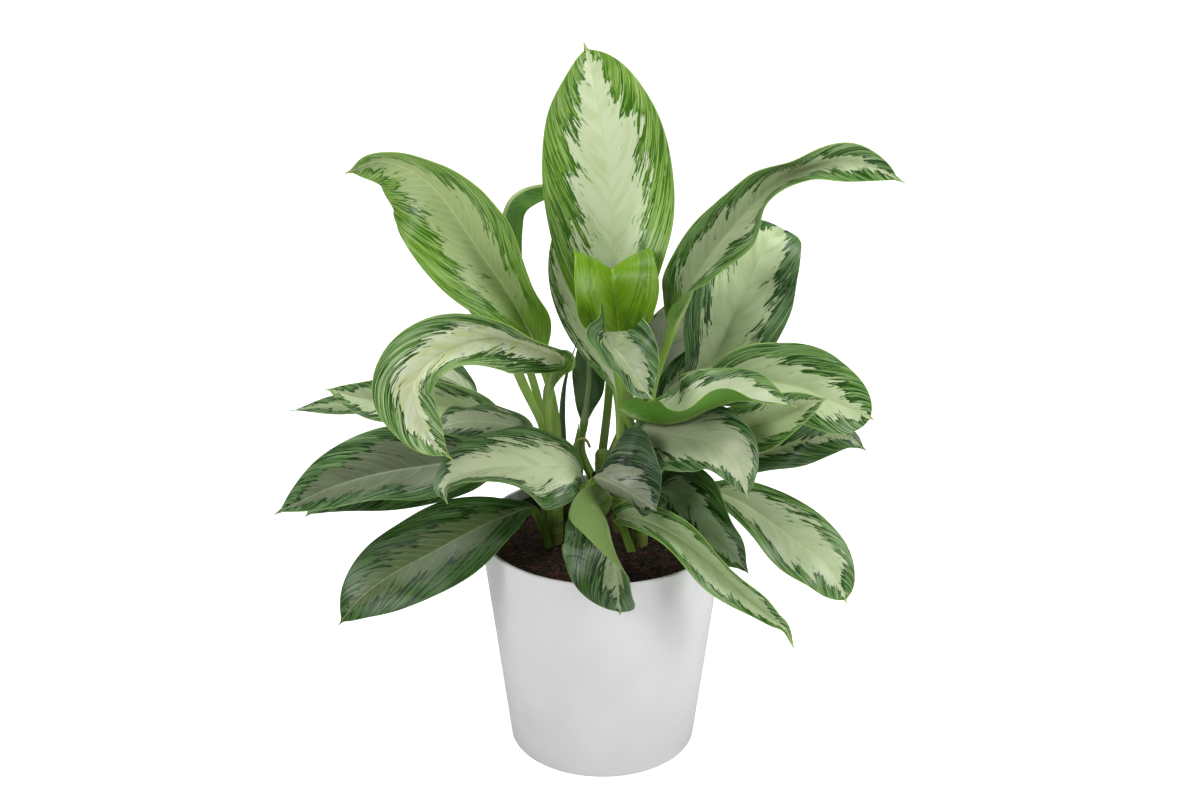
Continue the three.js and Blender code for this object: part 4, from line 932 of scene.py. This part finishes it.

# Its silver and pale tones are painted lighter than its palette's: painted light on a blade that
# faces up.
grow_leaf(
    "leaf_left_arching", FRESH, half=45, blade=3, taper=(1.1, 0.8), turn=(0, 0, 0, 5, 5, 5),
    Stain=0.4, Reach=0.5, Silver=(224, 231, 204), Pale=(172, 196, 142), Bare=0.13,
    left=[(60, 50), (45, 32), (45, 35), (55, 47), (50, 40), (30, 10)],
    right=[(60, 60), (76, 74), (76, 72), (58, 46), (26, 20), (50, 45)],
    face=[
        (1, -0.1, 0.1), (0.1, -0.9, 0.4), (0, -0.92, 0.4), (-0.1, -0.9, 0.4), (-0.1, -0.9, 0.4),
        (-0.1, -0.9, 0.3),
    ],
    path=[
        (-48, -3, 278), (-48, -24, 332), (-51, -26, 369), (-52, -24, 401), (-46, -26, 423),
        (-42, -32, 438), (-55, -42, 450), (-79, -54, 465), (-103, -66, 475), (-130, -80, 476),
        (-156, -94, 469), (-172, -104, 457), (-180, -112, 440), (-175, -118, 421),
        (-162, -122, 394), (-142, -126, 375),
    ],
)

grow_leaf(
    "leaf_back_left_high", COOL, half=34, taper=(0.75, 0.8), both=[(25, 10), (20, 5), (10, 0)],
    path=[
        (-54, 76, 280), (-65, 84, 338), (-81, 100, 388), (-109, 122, 440), (-139, 144, 487),
        (-170, 164, 524), (-194, 178, 541),
    ],
)


# Leaves high on the right
# A long folded blade reaches out over a broad upright one, with small leaves between their stalks.

grow_leaf(
    "leaf_right_high", FRESH, half=44, blade=3, taper=(0.6, 0.8), Reach=0.5, Under=(92, 128, 50),
    Silver=(196, 210, 170), Bare=0.1,
    left=[(66, 60), (72, 70), (72, 70), (66, 63), (60, 58), (76, 76), (50, 40), (30, 20)],
    right=[(50, 40), (48, 38), (42, 32), (45, 35), (78, 75), (70, 60), (25, 10), (10, 0)],
    face=[(-1, 0.1, 0.1), (-0.5, -0.7, 0.5), (-0.1, -0.9, 0.45), (0, -0.92, 0.4), (0, -0.92, 0.4)],
    path=[
        (38, -10, 325), (45, -3, 384), (52, -4, 416), (68, 0, 460), (82, 2, 487), (92, 2, 510),
        (105, 0, 535), (123, -4, 562), (142, -10, 588), (162, -16, 610), (184, -22, 626),
        (207, -28, 637), (232, -34, 641), (257, -40, 636), (283, -46, 624),
    ],
)

grow_leaf(
    "leaf_right_upright", COOL, half=53, taper=(0.75, 0.65), Reach=0.54, Silver=(178, 196, 148),
    Dark=(24, 62, 20), left=[(55, 50), (45, 35), (25, 10), (10, -10)],
    right=[(30, 20), (18, 5), (10, 0), (10, -10)],
    face=[(0, -1, 0.4), (0, -0.8, 0.6), (0, -0.6, 0.8), (0.3, 0.2, 0.9)],
    path=[
        (56, 48, 314), (54, 40, 336), (78, 52, 363), (103, 58, 388), (117, 60, 410), (136, 58, 459),
        (147, 64, 485), (159, 70, 510), (169, 80, 524), (178, 94, 528), (188, 108, 520),
    ],
)

grow_leaf(
    "leaf_right_inner_1", COOL, half=27, taper=(0.8, 0.6), Silver=(168, 172, 152), Reach=0.8,
    left=[(20, 10), (15, 0)], right=[(15, 0), (15, 0)],
    path=[
        (46, 82, 266), (42, 98, 321), (48, 100, 354), (58, 104, 385), (74, 108, 412),
        (92, 112, 423), (115, 116, 420),
    ],
)

grow_leaf(
    "leaf_right_inner_2", DEEP_PAINTED_SHADE, half=19, taper=(0.62, 0.7), Reach=0.25, both=[(15, 0), (15, 0)],
    path=[
        (56, 48, 286), (47, 62, 326), (56, 64, 350), (75, 68, 371), (93, 72, 387), (110, 76, 401),
        (126, 80, 413),
    ],
)

grow_leaf(
    "leaf_back_right_high", COOL, half=33, taper=(0.75, 0.8), face=[(0, -0.8, 0.6)],
    path=[
        (46, 82, 292), (72, 94, 340), (97, 112, 383), (124, 132, 420), (148, 152, 451),
        (167, 168, 469),
    ],
)


# Leaves on the right, half way up
# These spread sideways in layers. The nearest is rolled along its length and shows its underside.

grow_leaf(
    "leaf_right_rolled", FRESH, half=42, blade=3, taper=(0.6, 0.7), wave=(6, 2.9, -0.055, 0.3),
    Under=(88, 140, 44), Reach=0.74, Silver=(184, 196, 160),
    left=[(20, 40), (42, 50), (45, 52), (38, 42), (20, 10)],
    right=[(62, 60), (50, 52), (38, 40), (34, 34), (24, 20)],
    face=[(0.1, 0.5, 0.85), (0.4, -0.1, 0.9), (0.1, -0.1, 1), (0, 0, 1), (0, 0, 1)],
    path=[
        (38, -10, 290), (36, -16, 335), (29, -24, 366), (22, -31, 386), (30, -42, 384),
        (52, -54, 381), (77, -64, 388), (102, -72, 404), (129, -80, 416), (158, -88, 418),
        (185, -94, 416),
    ],
)

grow_leaf(
    "leaf_right_wide", FRESH, half=44, taper=(0.75, 0.55), turn=(-5, -10, -10, -5), Reach=0.52,
    left=[(40, 30), (40, 30), (25, 10), (10, 0)], right=[(40, 30), (35, 25), (35, 25), (10, 0)],
    path=[
        (56, 48, 292), (74, 34, 350), (98, 30, 370), (123, 24, 387), (147, 18, 396), (173, 12, 395),
        (196, 8, 392), (219, 3, 383), (245, -1, 373), (271, -5, 362),
    ],
)

grow_leaf(
    "leaf_right_behind_wide", FRESH, half=19, left=[(15, 5), (15, 0)], right=[(15, 0), (10, -10)],
    path=[
        (56, 48, 268), (90, 82, 343), (121, 88, 367), (152, 92, 378), (183, 95, 383),
        (209, 98, 386), (231, 100, 388),
    ],
)

grow_leaf(
    "leaf_right_mid", FRESH, half=34, turn=(5, 5, 0), Reach=0.7, Silver=(174, 192, 140),
    left=[(50, 40), (46, 36), (30, 10)], right=[(50, 45), (50, 40), (30, 10)],
    path=[
        (38, -10, 300), (70, -2, 331), (97, -12, 346), (126, -26, 359), (151, -40, 373),
        (175, -54, 390), (196, -64, 404), (216, -72, 415),
    ],
)

grow_leaf(
    "leaf_right_narrow", DEEP_PAINTED_SHADE, half=28, turn=(5, 5, 5, 0, 0), Reach=0.22,
    left=[(50, 40), (55, 45), (50, 40), (20, 0), (-5, -40)],
    right=[(50, 40), (55, 45), (45, 35), (20, 0), (5, 60)],
    path=[
        (56, 48, 258), (80, 62, 277), (112, 70, 280), (148, 74, 284), (184, 76, 293),
        (210, 78, 300), (236, 80, 304), (257, 82, 301), (275, 84, 287),
    ],
)


# Leaves on the left, half way up and low down
# They lie one above another and droop over the planter's side.

grow_leaf(
    "leaf_left_mid_1", FRESH, half=33, left=[(50, 40), (50, 35), (20, 5)],
    right=[(45, 30), (40, 30), (25, 5)],
    path=[
        (-54, 32, 273), (-77, 50, 305), (-100, 54, 324), (-126, 58, 338), (-167, 62, 347),
        (-208, 64, 351), (-249, 66, 355), (-285, 68, 364),
    ],
)

grow_leaf(
    "leaf_left_mid_2", COOL, half=25, Reach=0.62, Silver=(140, 158, 116),
    both=[(10, 0), (10, 0), (5, 0)], face=[(0, -0.15, 1)],
    path=[
        (-54, 76, 262), (-86, 90, 307), (-117, 98, 320), (-159, 104, 326), (-201, 110, 326),
        (-244, 114, 325), (-286, 118, 323), (-330, 120, 316),
    ],
)

grow_leaf(
    "leaf_left_short", COOL, half=34, Silver=(150, 160, 130),
    left=[(10, -20), (10, -30), (10, -10)], right=[(10, -10), (10, -20), (10, 0)],
    face=[(0, -0.4, 0.9), (0, -0.3, 1), (-0.2, -0.5, 0.9)],
    path=[
        (-48, -3, 261), (-63, -9, 318), (-69, -15, 343), (-82, -20, 359), (-101, -32, 370),
        (-120, -44, 378), (-137, -54, 382), (-152, -62, 381), (-166, -66, 375),
    ],
)

# Its silver and rib are painted darker than its palette's: painted shade from the leaves above it.
grow_leaf(
    "leaf_left_low_1", COOL, half=45, taper=(0.85, 0.95), turn=(15, 22, 25, 15),
    Silver=(100, 109, 84), Reach=0.56, Rib=(138, 150, 116),
    left=[(30, 15), (30, 15), (35, 25), (40, 35)], right=[(30, 20), (27, 20), (27, 20), (20, 15)],
    path=[
        (-48, -3, 230), (-73, 5, 296), (-103, 0, 312), (-138, -10, 319), (-178, -22, 319),
        (-219, -34, 317), (-263, -46, 309), (-294, -54, 298), (-325, -60, 284),
    ],
)

grow_leaf(
    "leaf_left_low_2", DEEP_PAINTED_SHADE, half=44, Reach=0.35, Rib=(126, 142, 98),
    left=[(10, 0), (10, 0), (10, 0)], right=[(15, 5), (15, 0), (10, 0)],
    path=[
        (-54, 32, 236), (-69, 18, 298), (-99, 22, 307), (-140, 24, 306), (-180, 18, 305),
        (-218, 12, 298), (-256, 6, 286), (-282, 2, 271), (-303, 0, 251),
    ],
)

# Its silver, pale and rib are painted darker than its palette's: painted shade from the leaves
# above it.
grow_leaf(
    "leaf_left_lowest", DEEP_PAINTED_SHADE, half=45, taper=(0.85, 0.8), Reach=0.4, Silver=(80, 95, 58),
    Rib=(122, 140, 92), Pale=(80, 112, 62), left=[(20, 5), (10, -5), (10, -10), (10, -5)],
    right=[(25, 10), (15, 5), (15, 0), (10, 0)],
    face=[(0, -0.5, 0.9), (-0.1, -0.6, 0.8), (-0.2, -0.7, 0.7)],
    path=[
        (-53, -16, 219), (-60, -24, 251), (-71, -32, 277), (-97, -48, 276), (-124, -62, 270),
        (-167, -82, 254), (-210, -100, 236), (-239, -110, 216), (-260, -116, 190),
    ],
)


# Leaves at the front
# Short leaves from the front cane. One hangs over the planter's rim with half of its blade curled
# across its face.

grow_leaf(
    "leaf_right_broad", COOL, half=42, Reach=0.66, Silver=(170, 178, 146),
    left=[(0, -15), (5, -10), (10, 0), (10, -10)], right=[(-50, -65), (0, -14), (14, 0), (10, -20)],
    face=[(0, -0.6, 0.9), (0, -0.6, 0.8), (0.3, -0.8, 0.5)],
    path=[
        (38, -10, 262), (25, -32, 308), (33, -43, 348), (52, -50, 369), (77, -70, 374),
        (102, -90, 377), (119, -105, 374), (131, -118, 361), (139, -125, 333),
    ],
)

grow_leaf(
    "leaf_front_short", SHADED, half=60, blade=3, taper=(0.3, 0.75), Reach=0.36,
    Silver=(124, 130, 108), left=[(5, 5), (10, 12), (24, 28), (14, 10)],
    right=[(-45, -240), (-45, -235), (-35, -195), (-20, -50)],
    face=[(0, -0.6, 0.8), (0, -0.75, 0.65), (0, -0.8, 0.6)],
    path=[
        (-8, -42, 262), (5, -47, 296), (-12, -64, 319), (-9, -84, 337), (4, -96, 339),
        (19, -103, 334), (36, -110, 326), (52, -118, 317),
    ],
)

grow_leaf(
    "leaf_front_left", COOL, half=46, Reach=0.6, Silver=(182, 193, 154),
    left=[(0, -20), (-20, -50), (10, 5), (45, 40), (60, 60)],
    right=[(25, 15), (20, 5), (15, 0), (10, 0), (5, -10)],
    face=[(0, -0.4, 0.9), (0, -0.45, 0.9), (-0.2, -0.7, 0.7)],
    path=[
        (-8, -42, 248), (-15, -47, 292), (-20, -59, 323), (-30, -70, 341), (-51, -84, 349),
        (-75, -98, 355), (-98, -110, 360), (-121, -120, 361), (-140, -127, 357), (-151, -131, 347),
        (-148, -134, 332),
    ],
)

grow_leaf(
    "leaf_front_hanging", DEEP_PAINTED_SHADE, half=50, taper=(0.6, 0.62), curl=0.45, Reach=0.3,
    Under=(128, 152, 88), left=[(20, 40), (60, 186), (55, 182), (60, 90), (68, 72), (40, 30)],
    right=[(0, -10), (-15, -28), (-12, -20), (0, -5), (0, 0)],
    face=[(0.1, 0.5, 0.85), (0, -0.8, 0.5), (0, -1, 0.2)],
    path=[
        (-8, -42, 232), (-14, -50, 264), (-10, -64, 291), (-4, -84, 297), (3, -104, 297),
        (8, -126, 284), (12, -135, 262), (15, -140, 237), (17, -141, 216),
    ],
)


# Leaves low on the right
# Three long blades that slope down past the planter.

grow_leaf(
    "leaf_right_low_1", FRESH, half=31, taper=(0.62, 1.1), turn=(6, 6, 6, 0, 0), Reach=0.66,
    Silver=(182, 200, 154), left=[(34, 28), (46, 44), (58, 58), (62, 60), (50, 40), (10, 0)],
    right=[(74, 70), (78, 74), (64, 54), (42, 34), (46, 44), (60, 60)],
    path=[
        (32, -26, 216), (21, -36, 255), (14, -50, 277), (29, -64, 284), (48, -78, 284),
        (72, -92, 277), (95, -104, 264), (118, -114, 247), (142, -120, 224), (165, -124, 202),
        (178, -126, 193), (188, -126, 171),
    ],
)

grow_leaf(
    "leaf_right_low_2", DEEP_PAINTED_SHADE, half=42, taper=(0.62, 1.1), turn=(25, 28, 28, 10), Reach=0.45,
    Silver=(136, 158, 118), Rib=(140, 158, 112), left=[(34, 22), (24, 14), (28, 18), (20, 10)],
    right=[(30, 10), (30, 10), (30, 0), (10, 0)],
    face=[(-0.5, 0.2, 0.8), (0, -0.92, 0.4), (0, -0.92, 0.4)],
    path=[
        (38, -10, 240), (53, -24, 274), (57, -34, 296), (71, -44, 302), (86, -58, 296),
        (102, -70, 283), (117, -80, 266), (132, -87, 249), (144, -90, 234),
    ],
)

grow_leaf(
    "leaf_right_low_3", FRESH, half=36, taper=(0.85, 0.6), Reach=0.58, Silver=(184, 198, 158),
    left=[(30, 20), (30, 20), (20, 0), (10, 0)], right=[(30, 20), (25, 15), (15, 0), (5, 0)],
    face=[(0, -0.6, 0.8), (0.2, -0.8, 0.7), (0.3, -0.8, 0.5)],
    path=[
        (38, -10, 236), (71, 15, 263), (99, 8, 278), (132, -2, 274), (165, -14, 257),
        (198, -26, 235), (224, -34, 216), (240, -38, 192), (248, -40, 173),
    ],
)


# Leaves at the back and in the middle
# These fill the side that faces away, and one small leaf stands between the canes, painted dark for
# the shade there.

# Its dark underside and dark palette are painted shade between the canes.
grow_leaf(
    "leaf_inner_small", DEEP_PAINTED_SHADE, half=18, taper=(0.8, 0.6), Reach=0.1, Under=(62, 92, 46),
    both=[(30, 20), (20, 5)], face=[(0, 1, 0.2), (0, 1, 0.3)],
    path=[
        (0, 74, 240), (-22, 70, 294), (-19, 76, 323), (-16, 84, 344), (-14, 94, 360),
        (-14, 106, 377), (-17, 120, 402),
    ],
)

grow_leaf(
    "leaf_back_left_mid", COOL, half=30, taper=(0.7, 0.8), face=[(-0.2, 0.1, 1)],
    path=[
        (-54, 76, 247), (-93, 125, 291), (-135, 150, 321), (-182, 172, 338), (-223, 190, 335),
        (-246, 200, 319),
    ],
)

grow_leaf(
    "leaf_back_right_mid", COOL, half=28, taper=(0.7, 0.8), face=[(0.2, 0.1, 1)],
    path=[(46, 82, 256), (103, 125, 309), (148, 150, 324), (195, 172, 326), (233, 190, 311)],
)

grow_leaf(
    "leaf_back_middle", COOL, half=36, taper=(0.7, 0.8), face=[(0, 0.5, 0.9)],
    path=[
        (0, 74, 270), (27, 125, 320), (30, 160, 343), (34, 200, 349), (37, 240, 339),
        (39, 275, 316),
    ],
)

grow_leaf(
    "leaf_back_left_low", DEEP_PAINTED_SHADE, half=30, taper=(0.7, 0.8), face=[(-0.2, 0.2, 1)],
    path=[
        (-54, 76, 236), (-92, 100, 254), (-141, 130, 251), (-192, 158, 233), (-234, 180, 208),
        (-265, 195, 184),
    ],
)

grow_leaf(
    "leaf_back_right_low", DEEP_PAINTED_SHADE, half=27, taper=(0.7, 0.8), face=[(0.2, 0.4, 1)],
    path=[(46, 82, 240), (74, 110, 257), (105, 142, 254), (130, 175, 235), (147, 205, 206)],
)


# Shoots between the canes
# A rolled new leaf as a dark spear, a small green one, a dried hooked stalk and a brown bud. Each
# stands in the soil on its own stem.

SHOOT_ROWS = 60
SHOOT_SEGMENTS = 16


def shoot_surface(path, radii):
    """A round stem along a smooth path, with a radius that runs through the given ones.

    Point (i, k) is centre + r (cos a * first + sin a * second), where first and second are square
    to the path and carried along it. Each end closes in a point.
    """
    line, lengths = smooth_path(path)
    u = np.linspace(0, 1, SHOOT_ROWS)
    centre = np.stack([np.interp(u * lengths[-1], lengths, line[:, k]) for k in range(3)], 1)
    tangent = unit(np.gradient(centre, axis=0))
    first = unit(np.cross(tangent, [0, 1, 0]))
    second = np.cross(tangent, first)
    radius = smooth_values(radii, u)
    angle = 2 * np.pi * np.arange(SHOOT_SEGMENTS)[:, None] / SHOOT_SEGMENTS
    ring = np.cos(angle) * first[:, None] + np.sin(angle) * second[:, None]
    rings = centre[:, None] + radius[:, :, None] * ring
    return closed_rings(rings * MM, centre[0] * MM, (centre[-1] + tangent[-1] * radius[-1]) * MM)


def shoot_finish(name, base, streak, tip):
    """A shoot's surface: a base colour streaked along its length, which changes towards its top."""
    material, tree, shader = new_material(name)
    place = object_place(tree)
    lines = speckle(tree, stretched_up(tree, place, 0.1), 900.0, 3.0)
    height = node(tree, "ShaderNodeSeparateXYZ", {0: place}).outputs[2]
    colour = mixed(tree, ramp(tree, lines, 0.35, 0.65), linear(base), linear(streak))
    colour = mixed(tree, ramp(tree, height, 0.32, 0.36), colour, linear(tip))
    coat(tree, shader, colour, ramp(tree, lines, 0.3, 0.7, 0.38, 0.5), lines, 0.35, 0.4 * MM)
    return material


SHOOTS = {
    "spear_dark": (
        [
            (-38, 44, 206), (-40, 44, 272), (-40, 44, 311), (-41, 44, 345), (-39, 44, 375),
            (-34, 44, 399), (-26, 46, 424),
        ],
        [3.6, 3.6, 3.5, 3.3, 3, 1.6, 0.5],
        [(78, 104, 52), (58, 84, 42), (50, 76, 44)],
        "cane_green",
    ),
    "spear_green": (
        [(-30, 17, 206), (-30, 18, 252), (-29, 20, 295), (-27, 20, 323), (-24, 20, 346)],
        [2.2, 2.4, 3, 3, 0.5],
        [(112, 146, 56), (132, 164, 72), (110, 150, 50)],
        "cane_green",
    ),
    "stalk_hooked": (
        [
            (-30, 4, 206), (-30, 4, 255), (-31, 6, 296), (-30, 6, 321), (-26, 6, 332),
            (-21, 6, 336), (-16, 6, 334), (-13, 6, 327),
        ],
        [1.8, 1.8, 1.8, 1.8, 1.8, 1.8, 2, 1.4],
        [(142, 150, 78), (120, 138, 64), (136, 140, 70)],
        "dried_stalk",
    ),
    "bud_brown": (
        [
            (-48, 57, 206), (-48, 57, 242), (-49, 57, 288), (-49, 57, 328), (-51, 57, 347),
            (-53, 57, 361),
        ],
        [1.5, 1.5, 1.5, 2, 3.6, 0.6],
        [(140, 150, 70), (118, 130, 58), (142, 112, 72)],
        "dried_stalk",
    ),
}

for shoot_name, (shoot_path, radii, shoot_colours, shoot_slot) in SHOOTS.items():
    shoot = shoot_surface(shoot_path, radii)
    skin = shoot_finish(f"{shoot_name}_surface", *shoot_colours)
    piece = add_piece(f"{shoot_name}_fine", *shoot, shoot_slot, skin)
    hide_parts(shoot_name)


# Floor, light and camera
# A plain white floor under a large soft overhead light, with a softbox on each side, as in a
# product studio. The camera stands in front and looks down on the plant.

FLOOR_HALF = 30.0
FLOOR_WHITE = (250, 250, 250)
FLOOR_SHADE = (247, 247, 247)
FLOOR_GLOW = 0.12
FLOOR_SEEN_GLOW = 0.7
ROOM_LIGHT = 0.15
CAMERA_PLACE = (-0.0026, -2.180, 1.346)
CAMERA_TILT = 66.13
CAMERA_LENS = 71.85
SENSOR_WIDTH = 36.0

paper, tree, shader = new_material("white_paper_floor")
faint = ramp(tree, speckle(tree, object_place(tree), 3.0, 2.0), 0.3, 0.7)
white = mixed(tree, faint, linear(FLOOR_WHITE), linear(FLOOR_SHADE))
tree.links.new(white, shader.inputs["Base Color"])
shader.inputs["Roughness"].default_value = 0.9
shader.inputs["Emission Color"].default_value = (1, 1, 1, 1)
seen = node(tree, "ShaderNodeLightPath").outputs["Is Camera Ray"]
glow = maths(tree, "MULTIPLY_ADD", seen, FLOOR_SEEN_GLOW, FLOOR_GLOW)
tree.links.new(glow, shader.inputs["Emission Strength"])
floor_mesh = bpy.data.meshes.new("floor")
floor_corners = FLOOR_HALF * np.array([(-1, -1, 0), (1, -1, 0), (1, 1, 0), (-1, 1, 0)])
floor_mesh.from_pydata(floor_corners.tolist(), [], [(0, 1, 2, 3)])
floor_mesh.materials.append(paper)
floor = bpy.data.objects.new("floor", floor_mesh)
bpy.context.scene.collection.objects.link(floor)


def softbox(name, place, aim, width, height, power):
    """A rectangular area light at a place, turned towards a point."""
    light = bpy.data.lights.new(name, "AREA")
    light.shape = "RECTANGLE"
    light.size = width
    light.size_y = height
    light.energy = power
    lamp = bpy.data.objects.new(name, light)
    bpy.context.scene.collection.objects.link(lamp)
    direction = Vector(aim) - Vector(place)
    lamp.location = place
    lamp.rotation_euler = direction.to_track_quat("-Z", "Y").to_euler()


middle = (0, 0, 0.4)
softbox("overhead", (-0.2, 0.1, 2.6), middle, 1.6, 1.6, 43)
softbox("left_box", (-1.7, -1.9, 1.9), middle, 1.0, 1.2, 34)
softbox("right_box", (2.0, -0.9, 1.2), middle, 0.9, 1.6, 28)

world = bpy.data.worlds.new("studio")
bpy.context.scene.world = world
world.use_nodes = True
sky = world.node_tree.nodes["Background"].inputs
sky["Color"].default_value = (1, 1, 1, 1)
sky["Strength"].default_value = ROOM_LIGHT

camera_data = bpy.data.cameras.new("camera")
camera_data.sensor_width = SENSOR_WIDTH
camera_data.lens = CAMERA_LENS
camera = bpy.data.objects.new("camera", camera_data)
bpy.context.scene.collection.objects.link(camera)
camera.location = CAMERA_PLACE
camera.rotation_euler = (np.radians(CAMERA_TILT), 0, 0)
bpy.context.scene.camera = camera
bpy.context.scene.view_settings.view_transform = "Standard"


def corners(box):
    """A box's two corners as plain lists of numbers."""
    return [[float(value) for value in corner] for corner in box]
